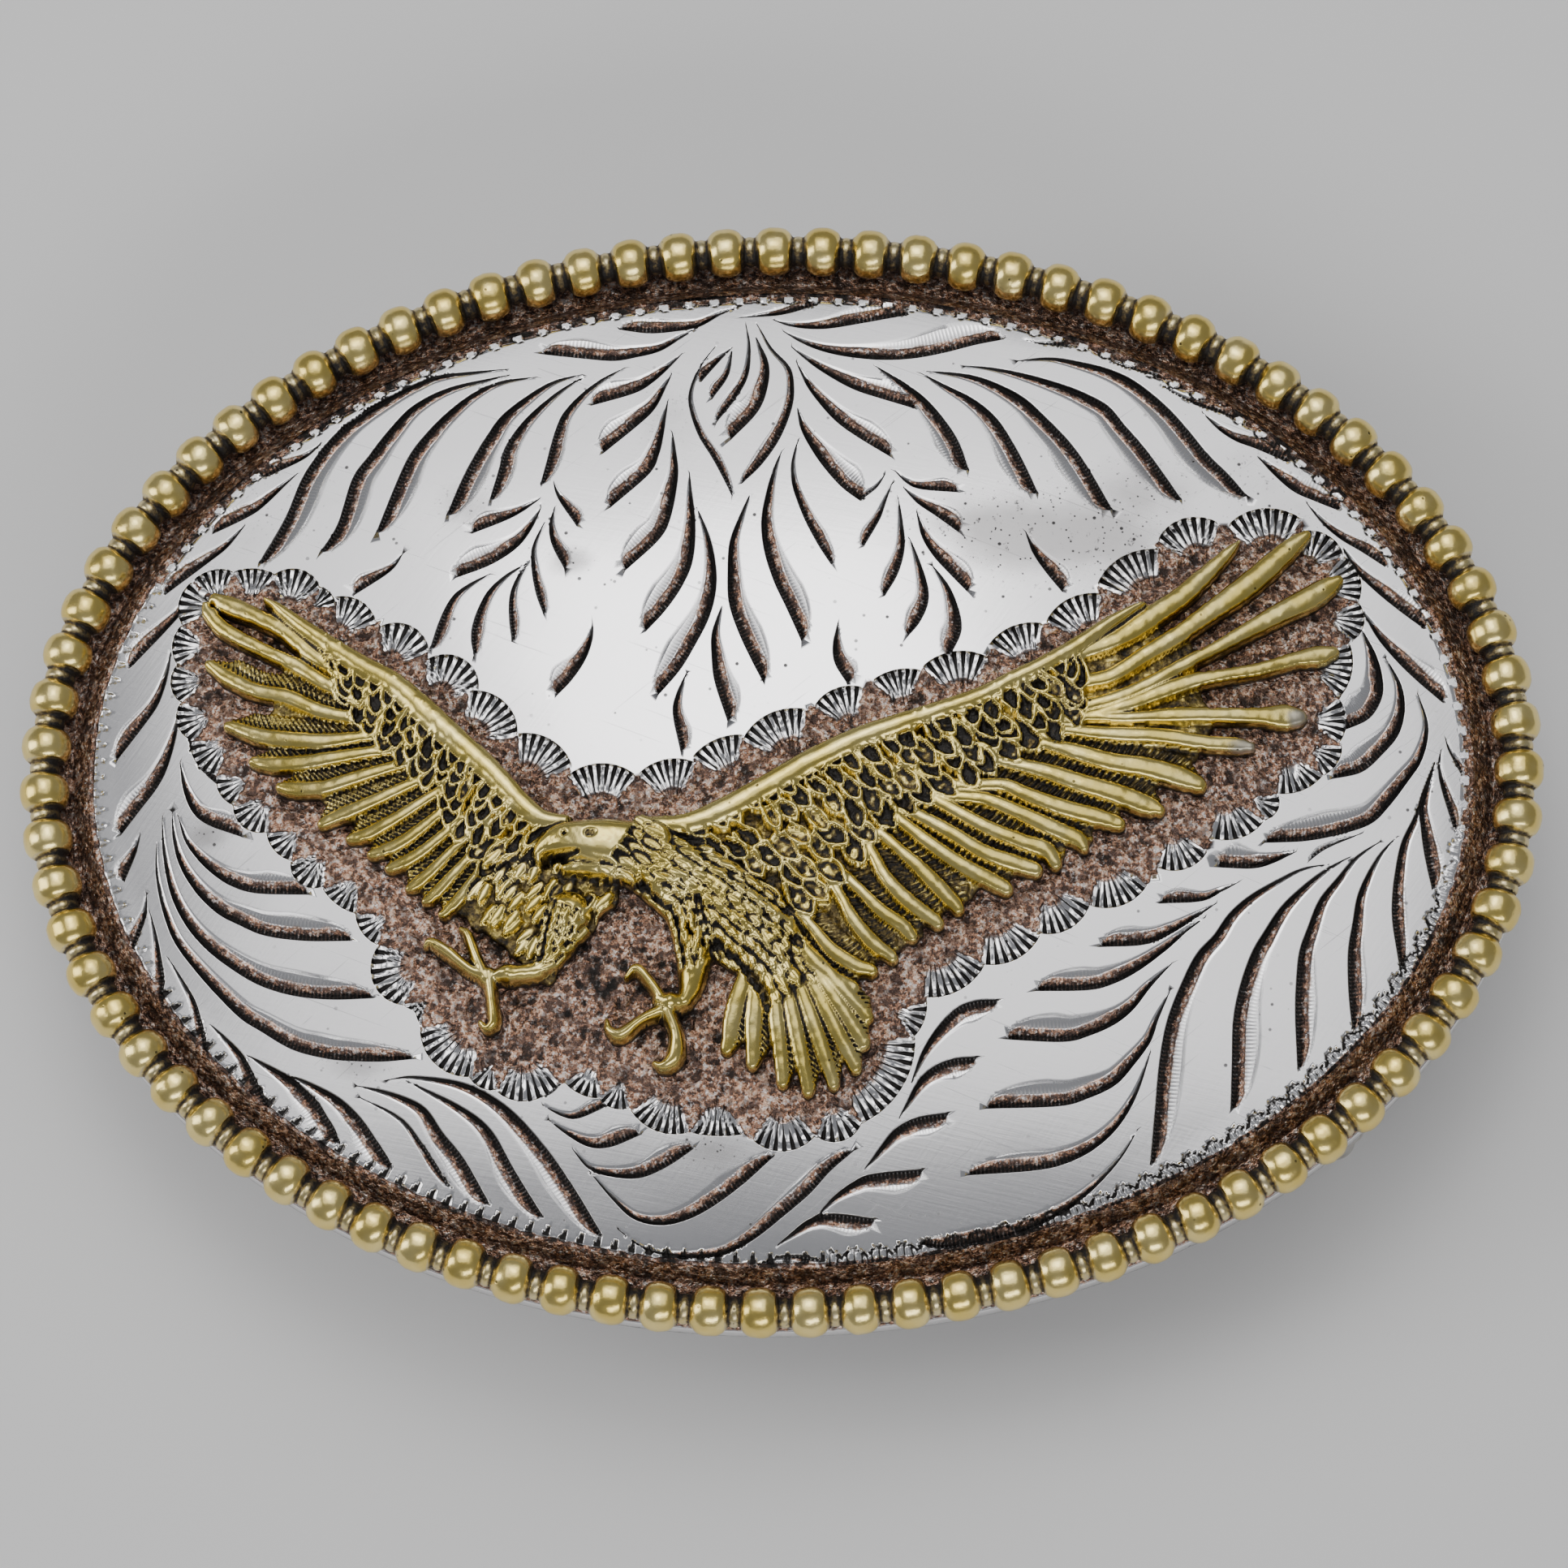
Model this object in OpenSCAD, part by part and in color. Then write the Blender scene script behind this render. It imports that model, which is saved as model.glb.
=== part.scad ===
// Western trophy buckle: a domed oval plate with a beaded edge, an applied
// eagle, and a wire loop and a hook post on its back.
// The buckle lies face up: X is its length, Y its width, and Z = 0 is the
// lowest point of the loop and the post.

/* [Plate] */
// Length of the buckle over its beads
buckle_l = 92; // [91:0.5:96]
// Width of the buckle over its beads
buckle_w = 70; // [69:0.5:74]
// Rise of the domed face above its own edge
dome_h = 3.6; // [3:0.1:4.2]
// Thickness of the sheet metal
sheet_t = 1.5; // [1.2:0.1:1.7]

/* [Beaded edge] */
// Number of beads round the edge
bead_count = 83; // [79:1:85]
// Diameter of a bead
bead_d = 3; // [2.8:0.1:3.1]
// Length of a bead along the wire
bead_len = 2.3; // [2.1:0.1:2.4]
// Height of the bead centres above the flange
bead_seat = 1.2; // [1:0.1:1.3]

/* [Eagle] */
// Height of the feather ridges above the dome
ridge_h = 1.5; // [1:0.1:2]
// Diameter of the rounded bone along the front of each wing
bone_d = 1.7; // [1.3:0.1:2]
// Height of the breast above the dome
breast_h = 2.3; // [1.8:0.1:2.8]
// Rows of short scale feathers on each wing
covert_rows = 3; // [2:1:4]

/* [Back] */
// Width of the belt that the loop holds
belt_w = 38; // [32:1:38]
// Diameter of the loop's wire
loop_d = 2.5; // [2:0.1:2.8]
// Height of the loop and the post below the flange
back_h = 9; // [8:0.5:11]
// Diameter of the hook post
post_d = 3.4; // [3:0.1:3.8]
// Lean of the hook post towards the middle, in degrees
post_lean = 18; // [10:1:22]
// Height of the collar that squares off the foot of the post
collar_h = 2.2; // [2:0.1:3]

/* [Hidden] */
$fn = 48;

// Clearance between pieces that are seated on each other
seat_gap = 0.08;

// Half lengths and half widths of the ovals, from the beads inwards
rim_a = buckle_l / 2 - bead_d / 2;
rim_b = buckle_w / 2 - bead_d / 2;
flange_a = rim_a + 0.9;
flange_b = rim_b + 0.9;
dome_a = rim_a - 2.7;
dome_b = rim_b - 2.7;
dome_k = dome_b / dome_a;

// Heights of the flange, the bead centres and the dome
flange_top = back_h + sheet_t;
bead_z = flange_top + bead_seat;
cap_r = (dome_a * dome_a + dome_h * dome_h) / (2 * dome_h);
cap_z = bead_z + dome_h - cap_r;

// Height of the domed face at a place on it
function dome_z(p) = cap_z + sqrt(cap_r * cap_r - p.x * p.x - pow(p.y / dome_k, 2));

// A place on the dome, raised by h
function on_dome(p, h) = [p.x, p.y, dome_z(p) + h];

// The plate

// Half section of the space under the dome
module cavity_section() {
    wall = sheet_t * 0.9;
    intersection() {
        translate([0, cap_z]) circle(r = cap_r - sheet_t, $fn = 720);
        polygon([
            [0, back_h - 1],
            [dome_a - wall + bead_seat, back_h - 1],
            [dome_a - wall, bead_z - 0.2],
            [dome_a - wall, bead_z + dome_h],
            [0, bead_z + dome_h]
        ]);
    }
}

// Half section of the solid dome with its 45 degree bevel
module dome_section() {
    intersection() {
        translate([0, cap_z]) circle(r = cap_r, $fn = 720);
        polygon([
            [0, flange_top - 0.7],
            [dome_a + bead_seat + 0.7, flange_top - 0.7],
            [dome_a, bead_z],
            [dome_a, bead_z + dome_h + 1],
            [0, bead_z + dome_h + 1]
        ]);
    }
}

// An oval solid turned from a half section in four quarters: k is its width
// as a share of its length
module oval(k) {
    for (turn = [0:90:270])
        scale([1, k, 1]) rotate([0, 0, turn]) rotate_extrude(angle = 90, $fn = 144) children();
}

module plate() {
    color("silver") difference() {
        union() {
            oval(flange_b / flange_a) translate([0, back_h]) square([flange_a, sheet_t]);
            oval(dome_k) dome_section();
        }
        oval(dome_k) cavity_section();
    }
}

// The beaded edge

// A place on the rim's oval at the angle parameter t
function rim_point(t) = [rim_a * cos(t), rim_b * sin(t)];

// Way walked round the rim against the angle parameter, a row a degree
rim_walk = [
    for (t = 0, s = 0; t <= 360; s = s + norm(rim_point(t + 1) - rim_point(t)), t = t + 1) [s, t]
];
bead_pitch = rim_walk[360][0] / bead_count;
// The first bead lies this part of a pitch short of the right-hand end
bead_phase = -0.076;

// Centre of the bead with number i
function bead_place(i) =
    rim_point(lookup((i + bead_phase + (i < 1 ? bead_count : 0)) * bead_pitch, rim_walk));

// Half section of a barrel-shaped bead
module bead_section() {
    intersection() {
        circle(r = bead_d * 0.54);
        translate([0, -bead_len / 2]) square([bead_d / 2, bead_len]);
    }
}

// How far a neck reaches into the bead at each of its ends
neck_hold = 0.4;

// A bead at the place p, along the wire that runs from before to after
module bead(p, before, after) {
    run = after - before;
    translate([p.x, p.y, bead_z]) rotate([0, 90, atan2(run.y, run.x)])
        rotate_extrude($fn = 24) bead_section();
}

// The neck between the beads at the places p and q
module neck(p, q) {
    run = q - p;
    translate([p.x, p.y, bead_z]) rotate([0, 90, atan2(run.y, run.x)])
        translate([0, 0, bead_len / 2 - neck_hold])
            cylinder(h = norm(run) - bead_len + 2 * neck_hold, r = bead_d * 0.33, $fn = 24);
}

module bead_edge() {
    color("goldenrod") difference() {
        union() {
            for (i = [0:bead_count - 1]) {
                bead(bead_place(i), bead_place(i - 1), bead_place(i + 1));
                neck(bead_place(i), bead_place(i + 1));
            }
        }
        translate([-buckle_l, -buckle_w, flange_top + seat_gap - bead_d])
            cube([2 * buckle_l, 2 * buckle_w, bead_d]);
    }
}

// The eagle

// Columns of a flight feather's row: where it leaves the scales (x, y),
// where its tip lies (x, y), its width, and how far it bows to its left
function feather_root(row) = [row[0], row[1]];
function feather_tip(row) = [row[2], row[3]];
function feather_w(row) = row[4];
function feather_bow(row) = row[5];

// Flight feathers of the wing on the right, from the top one inwards
right_feathers = [
    [14.5, 4.2, 22.1, 9.3, 1.3, -0.1],
    [16.8, 4.2, 27.7, 13.5, 1.7, -0.4],
    [17.5, 3.2, 31.7, 14.3, 1.8, -0.7],
    [18.0, 2.4, 33.7, 11.3, 1.6, -0.5],
    [18.0, 1.8, 33.5, 6.6, 1.4, 0.4],
    [18.0, 1.2, 31.4, 2.7, 1.4, 0.2],
    [17.5, 0.6, 28.3, 0.5, 1.2, 0.2],
    [16.5, 0.0, 25.2, -1.9, 1.3, 0.2],
    [15.0, -0.9, 22.6, -3.4, 1.4, 0.2],
    [13.0, -1.7, 20.6, -4.5, 1.4, 0.1],
    [11.0, -2.7, 18.3, -5.9, 1.4, 0.1],
    [9.5, -3.5, 16.5, -7.4, 1.4, 0.1],
    [8.0, -4.3, 13.9, -8.8, 1.4, 0.1],
    [7.0, -5.6, 11.0, -9.8, 1.4, 0.1],
    [5.8, -6.8, 9.7, -10.9, 1.4, 0.1],
    [4.8, -8.2, 8.2, -11.9, 1.3, 0.1],
    [3.6, -9.4, 7.0, -13.0, 1.3, 0.1],
    [2.2, -10.6, 5.8, -13.8, 1.3, 0.2],
    [1.2, -11.8, 4.6, -14.8, 1.3, 0.2]
];

// Flight feathers of the wing on the left, from the top one inwards
left_feathers = [
    [-21.5, 4.2, -31.3, 10.2, 1.3, -0.2],
    [-24.5, 4.4, -34.2, 10.3, 1.6, 0.3],
    [-25.5, 3.2, -34.8, 9.8, 1.6, 0.6],
    [-25.5, 2.2, -34.7, 6.5, 1.6, 0.6],
    [-25.0, 1.1, -33.2, 2.2, 1.5, 0.7],
    [-24.0, -0.1, -31.6, -0.1, 1.3, 0.7],
    [-23.0, -0.8, -29.8, -1.7, 1.4, 0.7],
    [-22.0, -1.7, -27.3, -4.0, 1.3, 0.4],
    [-21.0, -2.7, -25.7, -5.0, 1.2, 0.2],
    [-20.2, -3.8, -24.2, -6.2, 1.2, 0.2],
    [-19.7, -4.8, -23.1, -7.1, 1.2, 0.2],
    [-19.1, -5.8, -21.9, -8.2, 1.2, 0.2],
    [-18.5, -6.7, -20.9, -9.0, 1.2, 0.2],
    [-17.9, -7.7, -19.9, -9.8, 1.2, 0.2]
];

// Feathers of the tail fan, from the left one round to the right one
tail_feathers = [
    [-1.8, -13.0, -2.9, -18.2, 1.6, -0.2],
    [-1.1, -13.0, -1.3, -19.1, 1.5, -0.2],
    [-0.4, -13.0, 0.4, -20.2, 1.4, -0.2],
    [0.3, -13.0, 1.9, -20.7, 1.5, -0.2],
    [0.9, -13.0, 3.4, -20.3, 1.5, -0.1],
    [1.5, -13.0, 4.7, -19.3, 1.5, 0.0],
    [2.0, -12.8, 5.2, -17.9, 1.4, 0.0],
    [2.4, -12.6, 5.4, -16.3, 1.4, 0.1]
];

// Front edge of each wing, from the neck outwards: x, y and the bone's width
// there as a share of bone_d
right_bone = [
    [-8.0, -5.0, 1.0],
    [-5.5, -4.8, 0.95],
    [-3.2, -4.1, 0.95],
    [-0.5, -2.6, 1.0],
    [2.0, -1.0, 0.95],
    [5.0, 0.5, 0.9],
    [8.5, 1.7, 0.8],
    [12.0, 2.9, 0.75],
    [16.0, 5.0, 0.7],
    [19.5, 7.4, 0.6]
];
left_bone = [
    [-12.5, -4.8, 0.9],
    [-14.3, -4.4, 0.95],
    [-16.2, -2.2, 1.0],
    [-18.5, 0.3, 1.1],
    [-20.5, 2.3, 1.1],
    [-23.0, 4.6, 1.0],
    [-26.0, 6.3, 0.8],
    [-29.0, 8.6, 0.6]
];

// Line where the scales end and the flight feathers begin, outwards
right_scale_line = [[0.5, -12], [4, -9], [8, -4.6], [12, -2.5], [16, -0.2], [18.5, 2.6], [17, 4.4]];
left_scale_line = [[-17, -8.5], [-18.5, -6.5], [-20.5, -3.5], [-22.5, -1.2], [-25.2, 1.5], [-25.7, 4.5]];

// Outline of the thin web under each wing's feathers
right_web = [
    [-8, -5.5], [-3, -4.2], [4, 0], [12, 3], [20, 8.4], [22, 7.6], [26, 7],
    [28, 3], [26, 0.8], [20, -3.6], [14, -8], [9, -10.4], [4, -14], [-2, -14], [-6, -9]
];
left_web = [
    [-11.5, -5], [-14.3, -4.6], [-18.5, 0], [-23, 4.3], [-29, 8], [-30, 6],
    [-31, 1], [-27, -2.6], [-22, -7.4], [-18, -9.8], [-15, -9.6], [-13, -7]
];

// Place at the share u of the way along a line of evenly weighted points
function along(line, u) =
    let (s = u * (len(line) - 1), i = min(floor(s), len(line) - 2), f = s - i)
    [for (k = [0:1]) line[i][k] * (1 - f) + line[i + 1][k] * f];

// Middle line of a feather at the share u of its length
function feather_line(row, u) =
    let (
        root = feather_root(row),
        run = feather_tip(row) - root,
        side = [-run.y, run.x] / norm(run)
    )
    root + run * u + side * feather_bow(row) * 4 * u * (1 - u);

// Section of a feather across its length: a low edge, a crest set to one
// side, and a foot that reaches under the dome's face
function feather_ring(p, side, w, h, crest) = [
    on_dome(p + side * w / 2, -0.5),
    on_dome(p + side * w / 2, h * 0.45),
    on_dome(p + side * w * crest, h),
    on_dome(p - side * w / 2, h * 0.45),
    on_dome(p - side * w / 2, -0.5)
];

// A solid through equal rings of points
module loft(rings) {
    n = len(rings[0]);
    last = (len(rings) - 1) * n;
    polyhedron(
        points = [for (ring = rings) for (p = ring) p],
        faces = concat(
            [[for (k = [0:n - 1]) k]],
            [[for (k = [0:n - 1]) last + n - 1 - k]],
            [for (r = [0:len(rings) - 2]) for (k = [0:n - 1])
                [r * n + k, (r + 1) * n + k, r * n + (k + 1) % n]],
            [for (r = [0:len(rings) - 2]) for (k = [0:n - 1])
                [r * n + (k + 1) % n, (r + 1) * n + k, (r + 1) * n + (k + 1) % n]]
        )
    );
}

// A feather along its row of the table, with its crest on the side crest
module feather(row, crest) {
    shares = [0, 0.45, 0.9, 1];
    widths = [0.9, 1, 0.9, 0.4];
    heights = [0.75, 0.95, 0.95, 0.6];
    run = feather_tip(row) - feather_root(row);
    side = [-run.y, run.x] / norm(run);
    loft([
        for (k = [0:len(shares) - 1])
            feather_ring(
                feather_line(row, shares[k]), side,
                feather_w(row) * widths[k], ridge_h * heights[k], crest
            )
    ]);
}

// A short scale feather at the place p that points along the direction d
module scale_feather(p, d, size) {
    side = [-d.y, d.x];
    loft([
        feather_ring(p - d * size * 0.6, side, size * 0.8, ridge_h * 0.4, 0),
        feather_ring(p + d * size * 0.5, side, size * 0.9, ridge_h * 0.85, 0)
    ]);
}

// Rows of scale feathers between a wing's bone and its scale line
module scales(bone, line, count) {
    for (row = [1:covert_rows])
        for (i = [0:count - 1])
            let (
                u = (i + 0.5 + (row % 2) / 2) / (count + 0.5),
                a = along(bone, u * 0.85),
                b = along(line, u),
                d = (b - a) / norm(b - a),
                p = a + (b - a) * (row - 0.1) / (covert_rows + 0.3)
            )
            scale_feather(p, d, 1.15 + 0.35 * row / covert_rows);
}

// The rounded bone along a wing's front edge
module bone(line) {
    loft([
        for (i = [0:len(line) - 1])
            let (
                before = line[max(i - 1, 0)],
                after = line[min(i + 1, len(line) - 1)],
                run = [after.x - before.x, after.y - before.y],
                side = [-run.y, run.x] / norm(run),
                r = bone_d / 2 * line[i][2]
            )
            [for (t = [0:45:315]) on_dome([line[i].x, line[i].y] + side * r * cos(t), 0.75 + r * sin(t))]
    ]);
}

// A thin layer of the outline that follows the dome up to the height h
module web(outline, h) {
    intersection() {
        translate([0, 0, bead_z - 1]) linear_extrude(height = dome_h + 5) polygon(outline);
        scale([1, dome_k, 1]) rotate_extrude($fn = 40) cap_section(h);
    }
}

// Half section of the dome raised by h, in short straight steps
module cap_section(h) {
    steps = 5;
    polygon(concat(
        [[0, bead_z - 2], [dome_a, bead_z - 2]],
        [for (i = [0:steps])
            let (r = dome_a * (1 - i / steps))
            [r, cap_z + sqrt(cap_r * cap_r - r * r) + h]]
    ));
}

// A rounded lump at the place p: its radius, its height above the dome
module lump(p, r, h) {
    translate([p.x, p.y, dome_z(p)]) scale([1, 1, h / r]) sphere(r = r, $fn = 10);
}

// A chain of lumps blended one into the next: rows of x, y, radius, height
module limb(rows) {
    for (i = [0:len(rows) - 2])
        hull() {
            lump([rows[i].x, rows[i].y], rows[i][2], rows[i][3]);
            lump([rows[i + 1].x, rows[i + 1].y], rows[i + 1][2], rows[i + 1][3]);
        }
}

// Rows of x, y, radius and height along the body, the head and the legs
body_rows = [
    [-9.2, -6.0, 1.7, 2.3],
    [-6.6, -7.4, 2.2, breast_h],
    [-3.8, -9.2, 2.8, breast_h],
    [-0.8, -11.8, 2.6, breast_h * 0.9],
    [0.3, -14.0, 2.0, breast_h * 0.7]
];
hackle_rows = 5;
hackles_a_row = 4;
breast_rows = [[-9.6, -7.0, 1.5, 1.4], [-10.6, -8.8, 1.6, 1.0], [-12.8, -9.6, 1.3, 1.2]];
head_rows = [[-9.4, -5.4, 1.5, 2.4], [-11.6, -5.3, 1.35, 2.6], [-13.1, -5.6, 0.9, 2.3], [-14.1, -6.1, 0.5, 1.7]];
beak_hook = [[-14.0, -5.9, 0.5, 1.7], [-13.9, -6.7, 0.28, 1.4]];
jaw_rows = [[-11.0, -6.3, 0.8, 1.9], [-12.6, -6.9, 0.45, 1.4]];
left_thigh = [[-12.4, -10.2, 1.3, 1.7], [-13.1, -12.0, 1.0, 1.5], [-14.2, -13.8, 0.6, 1.3], [-15.8, -13.7, 0.65, 1.7]];
right_thigh = [[-5.2, -9.6, 1.4, 2.2], [-4.9, -12.4, 1.2, 2.0], [-5.1, -14.6, 0.8, 1.6], [-6.4, -15.6, 0.7, 1.7]];
talons = [
    [[-15.8, -13.7, 0.65, 1.7], [-17.3, -13.7, 0.5, 1.5], [-19.3, -12.9, 0.45, 1.5], [-20.9, -11.8, 0.3, 1.1]],
    [[-17.3, -13.7, 0.5, 1.5], [-18.1, -12.3, 0.4, 1.5], [-18.7, -10.9, 0.3, 1.1]],
    [[-17.2, -13.8, 0.5, 1.5], [-16.8, -15.6, 0.45, 1.5], [-16.8, -16.7, 0.4, 1.2], [-17.5, -16.4, 0.2, 0.9]],
    [[-6.6, -15.4, 0.5, 1.5], [-7.6, -14.2, 0.42, 1.4], [-8.4, -13.4, 0.38, 1.3], [-8.9, -13.9, 0.2, 0.9]],
    [[-6.6, -16.0, 0.5, 1.5], [-8.3, -16.8, 0.42, 1.4], [-9.5, -17.4, 0.38, 1.2], [-10.0, -16.5, 0.2, 0.9]],
    [[-6.4, -16.1, 0.5, 1.5], [-5.9, -17.6, 0.5, 1.5], [-6.3, -19.1, 0.42, 1.2], [-7.2, -19.2, 0.2, 0.9]]
];

// Rows of scale feathers laid over the neck and the back, a lift above them
module hackles() {
    for (i = [0:hackle_rows - 1])
        for (j = [0:hackles_a_row - 1])
            let (
                u = (i + 0.5 + (j % 2) / 2) / (hackle_rows + 0.5),
                here = along(body_rows, u),
                next = along(body_rows, u + 0.05),
                d = (next - here) / norm(next - here),
                reach = along([for (row = body_rows) [row[2], row[3]]], u),
                off = reach.x * 0.8 * ((j + 0.5) / hackles_a_row * 2 - 1)
            )
            body_feather(here + [-d.y, d.x] * off, d, 1.3, reach.y * sqrt(1 - pow(off / reach.x, 2)));
}

// A short feather that lies on the body at the height h above the dome
module body_feather(p, d, size, h) {
    side = [-d.y, d.x];
    loft([
        feather_ring(p - d * size * 0.6, side, size * 0.8, h * 0.95, 0),
        feather_ring(p + d * size * 0.5, side, size * 0.9, h + 0.3, 0)
    ]);
}

module eagle() {
    color("gold") difference() {
        union() {
            hackles();
            web(right_web, 0.55);
            web(left_web, 0.55);
            bone(right_bone);
            bone(left_bone);
            for (row = right_feathers) feather(row, -0.15);
            for (row = left_feathers) feather(row, 0.15);
            for (row = tail_feathers) feather(row, 0);
            scales(right_bone, right_scale_line, 10);
            scales(left_bone, left_scale_line, 8);
            limb(body_rows);
            limb(breast_rows);
            limb(head_rows);
            limb(beak_hook);
            limb(jaw_rows);
            limb(left_thigh);
            limb(right_thigh);
            for (rows = talons) limb(rows);
        }
        scale([1, dome_k, 1]) rotate_extrude($fn = 40) cap_section(seat_gap + 0.06);
    }
}

// The back

loop_y = belt_w / 2 + 0.7 + loop_d / 2;
// The loop's legs stand on the middle of the flange
foot_ring_a = (flange_a + dome_a) / 2;
foot_ring_b = (flange_b + dome_b) / 2;
loop_x = foot_ring_a * sqrt(1 - pow(loop_y / foot_ring_b, 2));
corner_r = loop_d;

// One half of the loop: half the bar, a rounded corner, a leg and its foot
module half_loop() {
    translate([loop_x, 0, loop_d / 2])
        rotate([-90, 0, 0]) cylinder(h = loop_y - corner_r, d = loop_d);
    translate([loop_x, loop_y - corner_r, loop_d / 2 + corner_r])
        rotate([0, 90, 0]) rotate_extrude(angle = 90) translate([corner_r, 0]) circle(d = loop_d);
    translate([loop_x, loop_y, loop_d / 2 + corner_r])
        cylinder(h = back_h - seat_gap - loop_d / 2 - corner_r, d = loop_d);
    translate([loop_x, loop_y, back_h - seat_gap - 0.8])
        cylinder(h = 0.8, d = loop_d + 1);
}

module belt_loop() {
    color("gray") union() {
        half_loop();
        mirror([0, 1, 0]) half_loop();
    }
}

post_x = -33;
// Height and slope of the dome's inner face where the post stands
post_seat_z = cap_z + sqrt(pow(cap_r - sheet_t, 2) - post_x * post_x);
post_seat_tilt = asin(-post_x / (cap_r - sheet_t));
post_reach = (post_seat_z - post_d / 2) / cos(post_lean);
post_foot_h = 1.1;
post_foot_d = post_d + 2.4;
// Where the collar starts along the post, inside the foot, and its width there
collar_root = 0.65;
collar_d = post_d + 1.8;

module hook_post() {
    color("gray") union() {
        translate([post_x, 0, post_seat_z])
            rotate([0, -post_seat_tilt, 0])
                translate([0, 0, -post_foot_h - seat_gap]) cylinder(h = post_foot_h, d = post_foot_d);
        translate([post_x, 0, post_seat_z]) rotate([0, 180 - post_lean, 0]) {
            translate([0, 0, collar_root])
                cylinder(h = collar_h - collar_root, d1 = collar_d, d2 = post_d);
            translate([0, 0, collar_root]) cylinder(h = post_reach - collar_root, d = post_d);
            translate([0, 0, post_reach]) sphere(d = post_d);
        }
    }
}

plate();
bead_edge();
eagle();
belt_loop();
hook_post();
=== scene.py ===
"""Dresses the western trophy buckle: engraved silver, gilt beads, a cast eagle and its back hardware."""

import sys

import logging
import math
from collections.abc import Callable
from dataclasses import dataclass, field
from enum import Enum
from typing import Any

import bpy
import numpy as np
from mathutils import Matrix, Vector
from mathutils.geometry import delaunay_2d_cdt


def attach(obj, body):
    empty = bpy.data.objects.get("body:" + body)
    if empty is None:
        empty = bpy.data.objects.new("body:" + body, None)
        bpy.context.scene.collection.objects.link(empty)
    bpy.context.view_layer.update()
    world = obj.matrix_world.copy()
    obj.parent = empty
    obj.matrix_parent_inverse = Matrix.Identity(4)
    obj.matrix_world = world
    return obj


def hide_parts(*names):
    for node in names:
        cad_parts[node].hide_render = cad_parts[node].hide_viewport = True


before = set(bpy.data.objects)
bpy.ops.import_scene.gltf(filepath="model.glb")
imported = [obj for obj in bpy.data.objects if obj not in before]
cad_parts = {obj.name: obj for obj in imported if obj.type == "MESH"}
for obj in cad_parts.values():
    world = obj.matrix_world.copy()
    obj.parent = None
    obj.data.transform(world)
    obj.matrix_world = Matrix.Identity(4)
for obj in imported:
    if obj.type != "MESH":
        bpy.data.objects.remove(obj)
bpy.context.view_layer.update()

MM = 0.001
# Which side of its path a cut's soft slope lies on
LEFT, RIGHT = 1.0, -1.0
# More than the cells across any grid here
CELLS_A_ROW = 100003
# The eagle's grid starts at -1, and holds relief where it is above this
LAID = -0.5
Array = np.ndarray
Covered = Callable[[Array, Array], Array]
log = logging.getLogger("buckle")


# Shader kit


class Wire:
    """A number socket of a shader that takes part in Python expressions."""

    def __init__(self, kit: "ShaderKit", socket: bpy.types.NodeSocket) -> None:
        self.kit, self.socket = kit, socket

    def _math(self, operation: str, *values: Any) -> "Wire":
        """Adds a Math node.

        Args:
            operation: The Math node's operation.
            values: Its inputs, as wires or numbers.

        Returns:
            The node's result.
        """
        inputs = {i: v for i, v in enumerate(values)}
        return Wire(self.kit, self.kit.node("ShaderNodeMath", {"operation": operation}, inputs).outputs[0])

    def __add__(self, other: Any) -> "Wire":
        """Sum."""
        return self._math("ADD", self, other)

    __radd__ = __add__

    def __sub__(self, other: Any) -> "Wire":
        """Difference."""
        return self._math("SUBTRACT", self, other)

    def __rsub__(self, other: Any) -> "Wire":
        """Reflected difference."""
        return self._math("SUBTRACT", other, self)

    def __mul__(self, other: Any) -> "Wire":
        """Product."""
        return self._math("MULTIPLY", self, other)

    __rmul__ = __mul__

    def clamp(self) -> "Wire":
        """This value held between 0 and 1."""
        return self._math("MINIMUM", self._math("MAXIMUM", self, 0.0), 1.0)

    def above(self, low: float, high: float) -> "Wire":
        """A smooth step from 0 at low to 1 at high.

        Args:
            low: Where the step starts.
            high: Where it ends.

        Returns:
            The step's result.
        """
        settings = {"interpolation_type": "SMOOTHSTEP"}
        made = self.kit.node("ShaderNodeMapRange", settings, {0: self, 1: low, 2: high, 3: 0.0, 4: 1.0})
        return Wire(self.kit, made.outputs[0])

    def sine(self) -> "Wire":
        """The sine of this value."""
        return self._math("SINE", self)


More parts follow.
